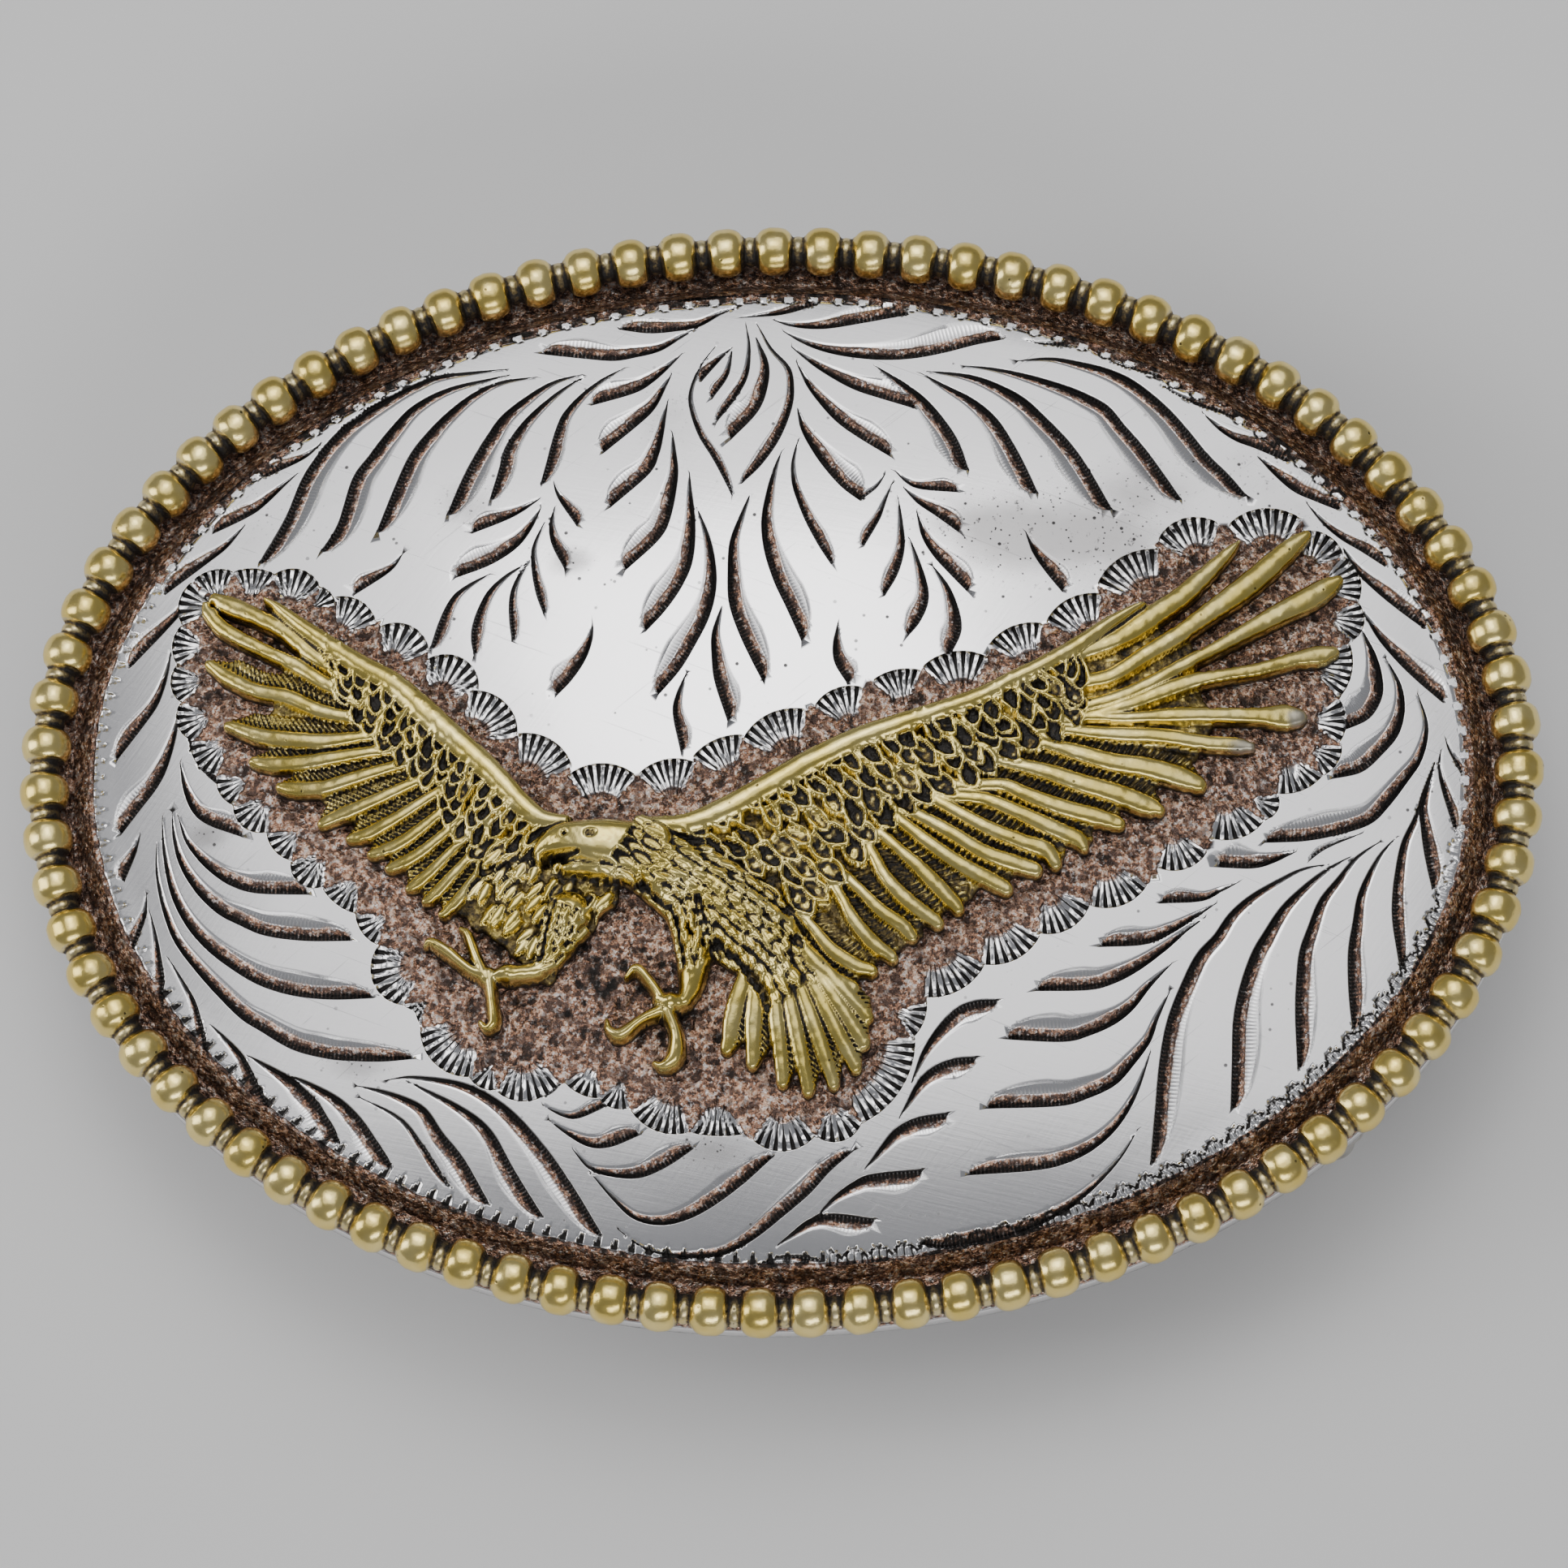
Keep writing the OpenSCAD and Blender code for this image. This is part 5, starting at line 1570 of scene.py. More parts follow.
RIGHT_FEATHERS = (
    Feather((14, 4.2, 0.3, 17, 5.7, 0.45, 20.2, 7.0, 0.5, 22.2, 8.4, 0.62, 24.2, 9.9, 0.58, 25.8, 11.5, 0.5,
        27.2, 13, 0.33, 27.8, 13.7, 0.12)),
    Feather((15.5, 3.4, 0.3, 18, 4.2, 0.4, 20, 4.7, 0.42, 22, 6.05, 0.44, 24, 7.4, 0.5, 26, 9, 0.58,
        28, 10.6, 0.66, 30, 12.5, 0.62, 31.2, 13.7, 0.5, 31.9, 14.3, 0.3)),
    Feather((17.5, 2.6, 0.3, 20, 3.2, 0.38, 22, 4.1, 0.36, 24, 5.3, 0.36, 26, 6.45, 0.4, 28, 7.7, 0.48,
        30, 8.95, 0.58, 32, 10.15, 0.66, 33.2, 11, 0.55, 33.8, 11.4, 0.3)),
    Feather((18.5, 2.1, 0.3, 21, 2.9, 0.4, 23, 3.75, 0.46, 25, 4.5, 0.44, 27, 4.95, 0.4, 29, 5.4, 0.42,
        31, 6.1, 0.44, 32.6, 6.5, 0.55, 33.4, 6.7, 0.35)),
    Feather((18.5, 2.1, 0.28, 21, 2.05, 0.3, 24, 2.3, 0.42, 27, 2.4, 0.42, 29, 2.45, 0.5, 30.4, 2.5, 0.72,
        31.2, 2.5, 0.5)),
    Feather((17.5, 1.2, 0.3, 20, 1.0, 0.4, 23, 0.95, 0.42, 25.5, 0.62, 0.42, 27.5, 0.6, 0.42,
        28.3, 0.5, 0.3)),
    Feather((15.8, 0.4, 0.3, 18, -0.2, 0.4, 20, -0.75, 0.45, 22, -1.0, 0.48, 24, -1.5, 0.52,
        25.2, -1.95, 0.38), 0.7, Vane.LADDER),
    Feather((14, -0.9, 0.32, 16.2, -1.45, 0.4, 18.2, -2.1, 0.45, 20, -2.6, 0.48, 22, -3.3, 0.48,
        22.8, -3.6, 0.3), 1.0, Vane.LADDER),
    Feather((12, -2.3, 0.3, 13.6, -2.3, 0.32, 15, -2.9, 0.36, 17, -3.6, 0.4, 19, -4.1, 0.42,
        20.4, -4.5, 0.34), 1.2, Vane.LADDER),
    Feather((10.7, -3.0, 0.3, 12.5, -3.2, 0.32, 14.5, -4.0, 0.36, 16.5, -4.9, 0.4, 17.9, -5.5, 0.4,
        18.3, -6, 0.28), 1.15, Vane.LADDER),
    Feather((10.0, -3.5, 0.3, 12.5, -4.9, 0.34, 14.5, -5.7, 0.38, 16, -6.2, 0.42,
        16.6, -7, 0.32), 1.1, Vane.LADDER),
    Feather((8.3, -4.1, 0.3, 10.3, -5.2, 0.34, 12.3, -6.4, 0.36, 14, -7, 0.4,
        15.4, -7.4, 0.36), 1.15, Vane.LADDER),
    Feather((7.6, -4.7, 0.28, 9.5, -6.2, 0.34, 11, -7.2, 0.36, 12.5, -8, 0.4,
        13.7, -8.6, 0.34), 1.05, Vane.LADDER),
    Feather((7.3, -6.3, 0.28, 8.5, -7.4, 0.34, 9.7, -8.6, 0.38, 10.8, -9.8, 0.34), 1.1, Vane.LADDER),
    Feather((5.9, -6.9, 0.28, 6.5, -8, 0.32, 7.8, -9.4, 0.36, 9.6, -10.7, 0.34), 1.0, Vane.LADDER),
    Feather((5.1, -8.9, 0.26, 6.3, -10.1, 0.32, 7.5, -10.9, 0.34, 8.1, -11.6, 0.28), 0.95, Vane.LADDER),
    Feather((4.0, -9.5, 0.26, 4.6, -10.6, 0.32, 5.7, -11.9, 0.35, 6.9, -12.8, 0.3), 0.95, Vane.LADDER),
    Feather((2.3, -11.2, 0.26, 3.3, -12.4, 0.32, 4.7, -13.3, 0.34, 5.7, -13.6, 0.3), 0.9, Vane.LADDER),
    Feather((1.6, -12.2, 0.26, 2.4, -13.2, 0.32, 3.5, -14.1, 0.34, 4.6, -14.6, 0.28), 0.85, Vane.LADDER),
)

LEFT_FEATHERS = (
    Feather((-25.6, 5.0, 0.3, -28, 6.4, 0.42, -30, 8.2, 0.46, -31.8, 9.3, 0.5, -33.4, 10.1, 0.55,
        -34.3, 10.6, 0.35)),
    Feather((-25, 3.6, 0.3, -27.2, 4.6, 0.4, -29.3, 6, 0.42, -31.5, 7.2, 0.42, -33.5, 8.4, 0.46,
        -34.6, 9.6, 0.4, -34.9, 10.2, 0.25)),
    Feather((-25, 2.3, 0.3, -27.5, 2.9, 0.4, -29.6, 3.9, 0.42, -31.6, 4.4, 0.42, -33.4, 5.4, 0.42,
        -34.5, 6.3, 0.3), -1.0, Vane.HATCH),
    Feather((-25, 1.2, 0.3, -27.2, 1.0, 0.42, -29.5, 1.2, 0.44, -31.5, 1.6, 0.44,
        -33.2, 2.3, 0.3), -1.0, Vane.HATCH),
    Feather((-23.6, 0.3, 0.3, -26, 0.0, 0.36, -28.5, -0.3, 0.42, -30.5, -0.3, 0.42,
        -31.6, -0.05, 0.3), -1.0, Vane.HATCH),
    Feather((-22.8, -0.7, 0.3, -25, -1.3, 0.36, -27.2, -1.9, 0.4, -29, -1.9, 0.42,
        -29.9, -1.7, 0.3), -0.9, Vane.HATCH),
    Feather((-22, -1.9, 0.3, -24, -2.8, 0.34, -25.8, -3.5, 0.38, -27.3, -4.1, 0.32), -0.95, Vane.HATCH),
    Feather((-20.9, -2.8, 0.28, -23, -4.1, 0.34, -24.6, -4.9, 0.36, -25.6, -5.1, 0.28), -0.95, Vane.HATCH),
    Feather((-20.2, -3.8, 0.28, -22, -5.2, 0.34, -23.4, -5.9, 0.34, -24.3, -6.1, 0.26), -0.95, Vane.HATCH),
    Feather((-19.7, -4.9, 0.28, -21.2, -6.1, 0.32, -22.5, -6.8, 0.34, -23.2, -7, 0.26), -0.95, Vane.HATCH),
    Feather((-19.2, -5.9, 0.26, -20.5, -7.2, 0.3, -21.6, -8.1, 0.32, -22, -8.3, 0.25), -0.9, Vane.HATCH),
    Feather((-18.6, -6.8, 0.26, -19.7, -8, 0.3, -20.6, -8.9, 0.32, -21, -9.1, 0.25), -0.9, Vane.HATCH),
    Feather((-18, -7.8, 0.26, -18.9, -9, 0.3, -19.7, -9.8, 0.3, -20, -9.9, 0.24), -0.85, Vane.HATCH),
)

TAIL_FEATHERS = tuple(
    Feather(path, 0.5, Vane.HATCH, 1.2)
    for path in (
        (-1.7, -13.4, 0.4, -2.5, -16, 0.5, -2.9, -18.2, 0.36),
        (-1.0, -13.4, 0.4, -1.3, -16.4, 0.45, -1.4, -19.1, 0.34),
        (-0.3, -13.4, 0.36, 0.1, -17, 0.42, 0.4, -20.2, 0.34),
        (0.4, -13.4, 0.36, 1.2, -17.2, 0.42, 1.9, -20.7, 0.34),
        (1.0, -13.4, 0.36, 2.3, -17, 0.42, 3.4, -20.3, 0.34),
        (1.6, -13.3, 0.36, 3.2, -16.4, 0.42, 4.7, -19.3, 0.36),
        (2.0, -13.2, 0.36, 3.7, -15.6, 0.42, 5.2, -17.9, 0.36),
        (2.4, -13.0, 0.36, 4.0, -14.8, 0.42, 5.4, -16.3, 0.36),
    )
)

# Front edge of each wing: x, y and half width in turn.
RIGHT_BONE = (
    -8.2, -4.7, 0.5, -5.5, -4.75, 0.75, -3.2, -3.9, 0.85, -0.5, -2.4, 0.85, 2, -0.9, 0.85, 5, 0.6, 0.8,
    8.5, 1.9, 0.7, 12, 3.2, 0.66, 14, 4.3, 0.62, 16, 5.35, 0.62,
    18, 6.6, 0.62, 20, 8.1, 0.5, 21.4, 9.0, 0.33, 22.1, 9.4, 0.14,
)
LEFT_BONE = (
    -12.4, -4.5, 0.5, -14, -4.3, 0.7, -15.3, -3.3, 0.8,
    -17.2, -1.2, 0.85, -19.2, 0.7, 0.9, -21.2, 2.6, 0.95,
    -23.2, 4.5, 0.85, -25, 5.6, 0.8, -27, 7.0, 0.72, -29, 8.5, 0.6, -30.3, 9.6, 0.45, -31.2, 10.25, 0.2,
)
# Where each wing's coverts end on its flight feathers
RIGHT_SCALE_LINE = (
    (-1.0, -12.5), (1.5, -11.2), (4, -8.9), (6, -6.3), (8.2, -4.2), (11.5, -2.6), (14.5, -1.0), (17, 0.4),
    (18.8, 2.2), (17.6, 3.9),
)
LEFT_SCALE_LINE = (
    (-16, -9.2), (-17.8, -7.9), (-19.2, -5.6), (-20.6, -3.3), (-22.6, -1.2), (-24.4, 0.9), (-25.6, 2.6),
    (-25.7, 4.7),
)
# Lumps run one into the next: x, y, radius and height of each
BODY = (
    (-9.2, -6.3, 1.7, 2.2), (-6.6, -7.4, 2.3, 2.35), (-3.8, -9.2, 2.9, 2.35), (-0.8, -11.8, 2.6, 2.0),
    (0.3, -13.6, 2.0, 1.6),
)
HEAD = (
    (-7.4, -5.9, 1.5, 2.2), (-8.9, -6.1, 1.75, 2.4), (-10.3, -5.95, 1.7, 2.55), (-11.6, -5.8, 1.5, 2.5),
    (-12.8, -5.7, 1.2, 2.3), (-13.7, -6.0, 0.8, 2.0), (-14.2, -6.5, 0.42, 1.75), (-14.15, -6.95, 0.22, 1.45),
)
JAW = ((-9.3, -7.3, 1.0, 1.95), (-11.2, -7.25, 0.75, 1.8), (-12.5, -7.35, 0.42, 1.5))
# Torn feathers where the head ends on the neck, and the face's small forms
NECK_FRILL = (
    (-7.6, -5.0), (-7.9, -5.8), (-8.3, -6.6), (-8.9, -7.4), (-9.7, -7.9), (-7.0, -5.5), (-7.2, -6.4),
    (-7.8, -7.3), (-8.8, -8.3),
)
MOUTH = ((-13.9, -6.95, 0.1), (-13.1, -6.75, 0.16), (-12.4, -6.65, 0.2), (-11.8, -6.6, 0.1))
EYE, NOSTRIL = (-11.05, -5.55), (-12.6, -5.5)
# Feather tips worn to grey: middle and half sizes
WORN_TIPS = ((28.3, 0.3, 1.6, 1.0), (31.2, 2.3, 0.8, 0.8))
# Thighs, shanks and toes
LIMBS = (
    ((-12.4, -10.0, 1.5, 1.7), (-13.1, -11.8, 1.2, 1.5), (-14.0, -13.3, 0.7, 1.3),
        (-15.8, -13.7, 0.66, 1.7)),
    ((-5.2, -9.8, 1.5, 2.1), (-4.9, -12.0, 1.25, 2.0), (-5.0, -14.2, 0.9, 1.6), (-5.4, -15.4, 0.6, 1.5)),
    ((-15.2, -13.55, 0.45, 1.4), (-16.0, -13.6, 0.62, 1.75), (-16.9, -13.8, 0.45, 1.4)),
    ((-17.3, -13.7, 0.5, 1.5), (-18.3, -13.3, 0.42, 1.5), (-19.6, -12.2, 0.45, 1.5),
        (-20.6, -11.6, 0.4, 1.35), (-20.95, -11.8, 0.22, 1.1)),
    ((-17.3, -13.9, 0.5, 1.5), (-17.9, -12.5, 0.42, 1.55), (-18.4, -11.2, 0.36, 1.4),
        (-18.8, -10.8, 0.24, 1.1)),
    ((-17.1, -13.6, 0.5, 1.5), (-16.9, -15.2, 0.42, 1.5), (-16.8, -16.4, 0.48, 1.4),
        (-17.2, -16.8, 0.34, 1.2), (-17.6, -16.4, 0.2, 1.0)),
    ((-5.8, -15.5, 0.6, 1.6), (-6.3, -15.5, 0.72, 1.85), (-6.9, -15.3, 0.5, 1.5)),
    ((-6.7, -15.4, 0.45, 1.5), (-7.5, -14.2, 0.4, 1.45), (-8.3, -13.4, 0.4, 1.35), (-8.9, -13.9, 0.2, 1.0)),
    ((-6.9, -16.0, 0.5, 1.5), (-8.0, -16.5, 0.4, 1.45), (-9.2, -17.3, 0.5, 1.35), (-9.9, -17.0, 0.34, 1.15),
        (-10.05, -16.4, 0.2, 0.9)),
    ((-6.4, -16.0, 0.5, 1.6), (-5.9, -17.4, 0.5, 1.55), (-6.0, -18.7, 0.6, 1.45), (-6.7, -19.2, 0.42, 1.25),
        (-7.2, -19.0, 0.22, 0.95)),
)
# Outlines of the thin dark layer under each wing's feathers
RIGHT_WEB = (
    (-8, -5.5), (-3, -4.2), (4, 0), (12, 3), (17.6, 6.2), (21.4, 7.6), (24.4, 8.3), (25.2, 6.2),
    (25.6, 4.2), (26.2, 2.2), (25.6, 0.6),
    (22.6, -2.6), (19, -4.4), (15.8, -6.6), (12.8, -8.2), (9.6, -10.2), (6.8, -12.6), (4.6, -14.4),
    (2, -15), (-2, -14.4), (-6, -9.5),
)
LEFT_WEB = (
    (-11.5, -5), (-14.3, -4.6), (-18.5, 0), (-23, 4.3), (-28.5, 8.1), (-29.2, 6.6), (-30.4, 4.6),
    (-30.4, 1.5), (-29, -1.2),
    (-26, -3.8), (-22.8, -6.6), (-20.4, -9.2), (-18, -10.2), (-15, -10.2), (-12.4, -8),
)
# Rough feathered ground between the left wing, the neck and the left leg.
INNER_WING = (
    (-19, -9.4), (-17, -4.8), (-12.6, -4.6), (-9, -6.6), (-9.4, -8.8), (-10.6, -10.4), (-12.2, -12.6),
    (-13.4, -14.2),
    (-14.8, -13.2), (-16.2, -11.7), (-17.8, -10.8),
)


class ReliefField:
    """A fine square grid on which the eagle's relief is laid up, in millimetres over the dome."""

    # Places measured at a time, to keep memory small
    block = 20000
    # How far a feather's root runs on under the coverts
    root = 1.5

    def __init__(self, step: float) -> None:
        """Lays out the grid.

        Args:
            step: Spacing of the grid in millimetres.
        """
        self.step = step
        self.xs = np.arange(-36.2, 35.2, step)
        self.ys = np.arange(-22.0, 15.8, step)
        self.x, self.y = np.meshgrid(self.xs, self.ys)
        self.h = np.full(self.x.shape, -1.0)
        self.grain = Grain(61)

    def window(self, points: Array, reach: float) -> tuple[slice, slice]:
        """The grid's rows and columns round some points.

        Args:
            points: The points, one a row.
            reach: How far round them the window goes.

        Returns:
            Slices of the rows and of the columns.
        """
        low, high = points.min(0) - reach, points.max(0) + reach
        i0, i1 = np.searchsorted(self.xs, [low[0], high[0]])
        j0, j1 = np.searchsorted(self.ys, [low[1], high[1]])
        return slice(int(j0), int(j1)), slice(int(i0), int(i1))

    def beside(self, rows: Array, reach: float, step: float = 0.12) -> tuple[Any, ...]:
        """Measures the grid against a curve.

        Args:
            rows: The curve's points with any further columns.
            reach: How far from it the grid is read.
            step: Spacing of the curve's points.

        Returns:
            The window, the distance to the left, the way along, the length, the
            distance, and the further columns at the nearest point.
        """
        curve, walk = rounded_path(rows, step)
        along, left = sides_of(curve)
        win = self.window(curve[:, :2], reach)
        px, py = self.x[win], self.y[win]
        flat = np.column_stack([px.ravel(), py.ravel()])
        near = np.empty(len(flat), int)
        for k in range(0, len(flat), self.block):
            gap = flat[k : k + self.block, None, :] - curve[None, :, :2]
            near[k : k + self.block] = np.argmin((gap**2).sum(2), axis=1)
        away = flat - curve[near, :2]
        d = (away * left[near]).sum(1).reshape(px.shape)
        t = (away * along[near]).sum(1).reshape(px.shape)
        s = walk[near].reshape(px.shape) + t
        far = np.hypot(away[:, 0], away[:, 1]).reshape(px.shape)
        extra = [curve[near, k].reshape(px.shape) for k in range(2, curve.shape[1])]
        return win, d, s, float(walk[-1]), far, extra

    def raise_to(self, win: tuple[slice, slice], height: Array, on: Array) -> None:
        """Raises the window to a height where that is higher."""
        self.h[win] = np.where(on, np.maximum(self.h[win], height), self.h[win])

    def tube(self, rows: Array, lift: float, fall: float) -> None:
        """Lays a rounded bar along x, y, half width rows.

        Args:
            rows: The rows.
            lift: Height of its crest.
            fall: How far its sides fall below the crest.
        """
        win, _, _, _, far, (half,) = self.beside(rows, 1.3)
        q = np.clip(far / np.maximum(half, 0.05), 0, 1)
        self.raise_to(win, lift - fall * (1 - np.sqrt(1 - q**2)), far < half)

    def mound(self, rows: tuple[tuple[float, ...], ...], power: float = 2.0) -> None:
        """Lays lumps run one into the next along x, y, radius, height rows, squarer at a higher power.

        Args:
            rows: The lumps' rows.
            power: Roundness of the section, 2 for a half circle.
        """
        p = np.array(rows)
        win, _, _, _, far, (radius, lift) = self.beside(p, float(p[:, 2].max()) + 0.1)
        q = np.clip(far / radius, 0, 1)
        self.raise_to(win, lift * np.sqrt(1 - q**power), far < radius)

    def feather(self, feather: Feather) -> None:
        """Lays a flight feather.

        Args:
            feather: The feather.
        """
        rows = np.array(feather.path).reshape(-1, 3)
        first = rows[1] - rows[0]
        start = rows[0] - first * (self.root / np.linalg.norm(first[:2]))
        start[2] = rows[0, 2]
        rows = np.vstack([start, rows])
        reach = abs(feather.vane) + 1.0
        win, d, s, length, far, (half,) = self.beside(rows, reach)
        half = half * (1.45 if feather.work is Vane.LADDER else 1.25)
        u = np.clip(s / length, 0, 1)
        lift = feather.lift * (0.92 + 0.16 * np.sin(np.pi * u) - 0.1 * u)
        if feather.vane:
            side = d * math.copysign(1.0, feather.vane)
            width = abs(feather.vane) * smooth_step(u, -0.05, 0.15) * (1 - 0.75 * smooth_step(u, 0.86, 1.0))
            on = (side > 0) & (side < half + width) & (s > 0) & (s < length)
            q = np.clip((side - half) / np.maximum(width, 0.05), 0, 1)
            pitch, slant = (0.42, 0.5) if feather.work is Vane.LADDER else (0.36, 0.9)
            bars = np.cos(math.tau * (s - slant * side) / pitch)
            floor = 0.6 + 0.15 * bars * (1 - 0.5 * q) - 0.05 * q
            if feather.work is Vane.HATCH:
                floor = 0.86 + 0.16 * np.clip(bars * 1.4, -1, 1) - 0.28 * q
            self.raise_to(win, floor, on)
        q = np.clip(far / np.maximum(half, 0.05), 0, 1)
        crest = lift - half * 0.66 * (1 - np.sqrt(1 - q**3)) + 0.06 * (1 - q)
        self.raise_to(win, crest, far < half)

    def scale(self, at: Array, way: Array, length: float, width: float, base: float) -> None:
        """Lays one covert scale over what is there: a blunt point with a raised rim and a sunk middle.

        Args:
            at: The tip's place.
            way: Unit direction that it points in.
            length: Its length.
            width: Its width.
            base: Height of its rim.
        """
        win = self.window(np.array([at, at - way * length]), width)
        px, py = self.x[win] - at[0], self.y[win] - at[1]
        s = -(px * way[0] + py * way[1])
        d = -px * way[1] + py * way[0]
        point = np.clip(1 - s / (0.75 * width), 0, 1)
        edge = width / 2 * (1 - point**1.8) * (1 - 0.25 * smooth_step(s, 0.5 * length, length))
        on = (s > 0) & (s < length) & (np.abs(d) < edge)
        rim = np.minimum(edge - np.abs(d), s * 0.8)
        x, y = self.x[win], self.y[win]
        lean = 0.13 * self.grain.at(x, y, 0.45)
        # Each width gives its own depth, so that scales differ
        hollow = smooth_step(rim + lean, 0.18, 0.34) * (0.42 + 0.1 * math.sin(60 * width))
        floor = 0.1 * self.grain.at(y, x, 0.3) * smooth_step(rim, 0.25, 0.4)
        height = base - hollow + floor + 0.1 * smooth_step(s, 0.6 * length, length)
        edge_round = 0.12 * np.clip(1 - rim / 0.12, 0, 1) ** 2
        self.h[win] = np.where(on, height - edge_round, self.h[win])

    def blurred(self, reach: float) -> Array:
        """The relief smoothed over a reach, with the bare ground counted as low relief.

        Args:
            reach: The reach in millimetres.

        Returns:
            A value a place of the grid.
        """
        count = max(1, int(round(reach / self.step)))
        value = np.where(self.h > LAID, self.h, 0.25)
        for axis in (0, 1):
            for _ in range(2):
                total = value.copy()
                for k in range(1, count + 1):
                    total += np.roll(value, k, axis) + np.roll(value, -k, axis)
                value = total / (2 * count + 1)
        return value


@dataclass
class CastEagle:
    """The applied eagle, cast in brass with polished high places and dark recesses."""

    form: Form
    step: float = 0.1
    relief: ReliefField = field(init=False)
    grain: Grain = field(default_factory=lambda: Grain(53))

    def __post_init__(self) -> None:
        """Lays up the relief."""
        self.relief = ReliefField(self.step)
        self.lay_webs()
        self.lay_wings()
        self.lay_body()
        self.lay_head()
        self.lay_feet()

    def covered(self, x: Array, y: Array) -> Array:
        """Whether places lie well under the eagle.

        Args:
            x: Places along X.
            y: Places along Y.

        Returns:
            True where they do.
        """
        r = self.relief
        i = np.clip(((x - r.xs[0]) / r.step).astype(int), 3, len(r.xs) - 4)
        j = np.clip(((y - r.ys[0]) / r.step).astype(int), 3, len(r.ys) - 4)
        deep = np.ones(len(x), bool)
        for a, b in ((-3, 0), (3, 0), (0, -3), (0, 3), (0, 0)):
            deep &= r.h[j + b, i + a] > LAID
        return deep & (x > -36) & (x < 35) & (y > -21.8) & (y < 15.6)

    def lay_webs(self) -> None:
        """Lays the thin dark layer under each wing's feathers."""
        r = self.relief
        for web in (RIGHT_WEB, LEFT_WEB, INNER_WING):
            x = r.x + 0.4 * self.grain.at(r.x, r.y, 0.9)
            y = r.y + 0.4 * self.grain.at(r.y, r.x, 0.8)
            inside = within(np.array(web, float), x, y)
            lumps = 0.4 + 0.1 * self.grain.at(r.x, r.y, 0.6) + 0.06 * self.grain.at(r.y, r.x, 0.3)
            r.h = np.where(inside, np.maximum(r.h, lumps), r.h)

    def lay_wings(self) -> None:
        """Lays both wings: flight feathers, then scales, then the bones."""
        r = self.relief
        for feather in (*RIGHT_FEATHERS, *LEFT_FEATHERS, *TAIL_FEATHERS):
            r.feather(feather)
        self.lay_scales(RIGHT_BONE, RIGHT_SCALE_LINE, 1.55, 1.35)
        self.lay_scales(LEFT_BONE, LEFT_SCALE_LINE, 1.35, 1.15)
        for bone in (RIGHT_BONE, LEFT_BONE):
            r.tube(np.array(bone).reshape(-1, 3), 1.62, 0.75)

    def lay_scales(
        self, bone: tuple[float, ...], line: tuple[tuple[float, float], ...], length: float, width: float
    ) -> None:
        """Lays rows of covert scales from the flight feathers up to the bone.

        Args:
            bone: The bone's rows.
            line: Where the scales end.
            length: A scale's length.
            width: A scale's width.
        """
        top, top_walk = rounded_path(np.array(bone).reshape(-1, 3)[:, :2], 0.2)
        low, low_walk = rounded_path(np.array(line), 0.2)
        grain = np.random.default_rng(17)
        rows, top_end = 5, 0.86 * top_walk[-1]
        for row in range(rows, 0, -1):
            share_down = (row - 0.15) / (rows - 0.15)
            run = low_walk[-1] * share_down + top_end * (1 - share_down)
            count = int(run / (width * (0.8 + 0.22 * share_down)))
            for i in range(count):
                u = (i + 0.5 + 0.5 * (row % 2) - 0.25) / count
                a = np.array([np.interp(u * top_end, top_walk, top[:, k]) for k in (0, 1)])
                b = np.array([np.interp(u * low_walk[-1], low_walk, low[:, k]) for k in (0, 1)])
                way = (b - a) / max(np.linalg.norm(b - a), 1e-6)
                gap = float(np.linalg.norm(b - a))
                if gap < 1.2 or (gap < 3.2 and row % 2):
                    continue
                at = a + (b - a) * share_down + grain.uniform(-0.2, 0.2, 2)
                way = unit(way + np.array([-way[1], way[0]]) * grain.uniform(-0.3, 0.3))
                shrink = (0.78 + 0.34 * share_down) * grain.uniform(0.88, 1.14)
                base = 1.5 - 0.25 * share_down + grain.uniform(-0.1, 0.1)
                room = gap * share_down + 0.15
                self.relief.scale(at, way, min(length * shrink * 1.4, room), width * shrink, base)

    def lay_body(self) -> None:
        """Lays the back and breast with short torn-looking feathers."""
        r = self.relief
        grain = np.random.default_rng(29)
        ring = np.array(INNER_WING)
        for y in np.arange(ring[:, 1].max() - 0.3, ring[:, 1].min(), -0.55)[::-1]:
            for x in np.arange(ring[:, 0].min(), ring[:, 0].max(), 0.7):
                at = np.array([x, y]) + grain.uniform(-0.25, 0.25, 2)
                i, j = int((at[0] - r.xs[0]) / r.step), int((at[1] - r.ys[0]) / r.step)
                if 0.2 < r.h[j, i] < 0.62:
                    way = unit(np.array([-0.6, -0.8]) + grain.uniform(-0.3, 0.3, 2))
                    self.flake(at, way, 1.5, 0.72, 1.0 + grain.uniform(-0.2, 0.35))
        r.mound(BODY)
        for limb in LIMBS[:2]:
            r.mound(limb)
        body, walk = rounded_path(np.array(BODY), 0.1)
        along, left = sides_of(body)
        for s in np.arange(walk[-1] + 1.7, 0.6, -0.62):
            k = int(np.clip(np.searchsorted(walk, s), 0, len(body) - 1))
            reach = body[k, 2]
            past = along[k] * max(s - walk[-1], 0)
            for off in np.arange(-reach * 0.92, reach * 0.93, 0.78):
                jitter = grain.uniform(-0.2, 0.2, 2)
                at = body[k, :2] + left[k] * off + jitter + past
                way = unit(along[k] + left[k] * (0.35 * off / reach) + grain.uniform(-0.15, 0.15, 2))
                top = body[k, 3] * math.sqrt(max(1 - (off / reach) ** 2, 0.12))
                self.flake(at, way, 1.15, 0.62, top + 0.16)
        for limb in LIMBS[:2]:
            thigh, twalk = rounded_path(np.array(limb), 0.1)
            talong, tleft = sides_of(thigh)
            for s in np.arange(twalk[-1] * 0.68, 0.1, -0.55):
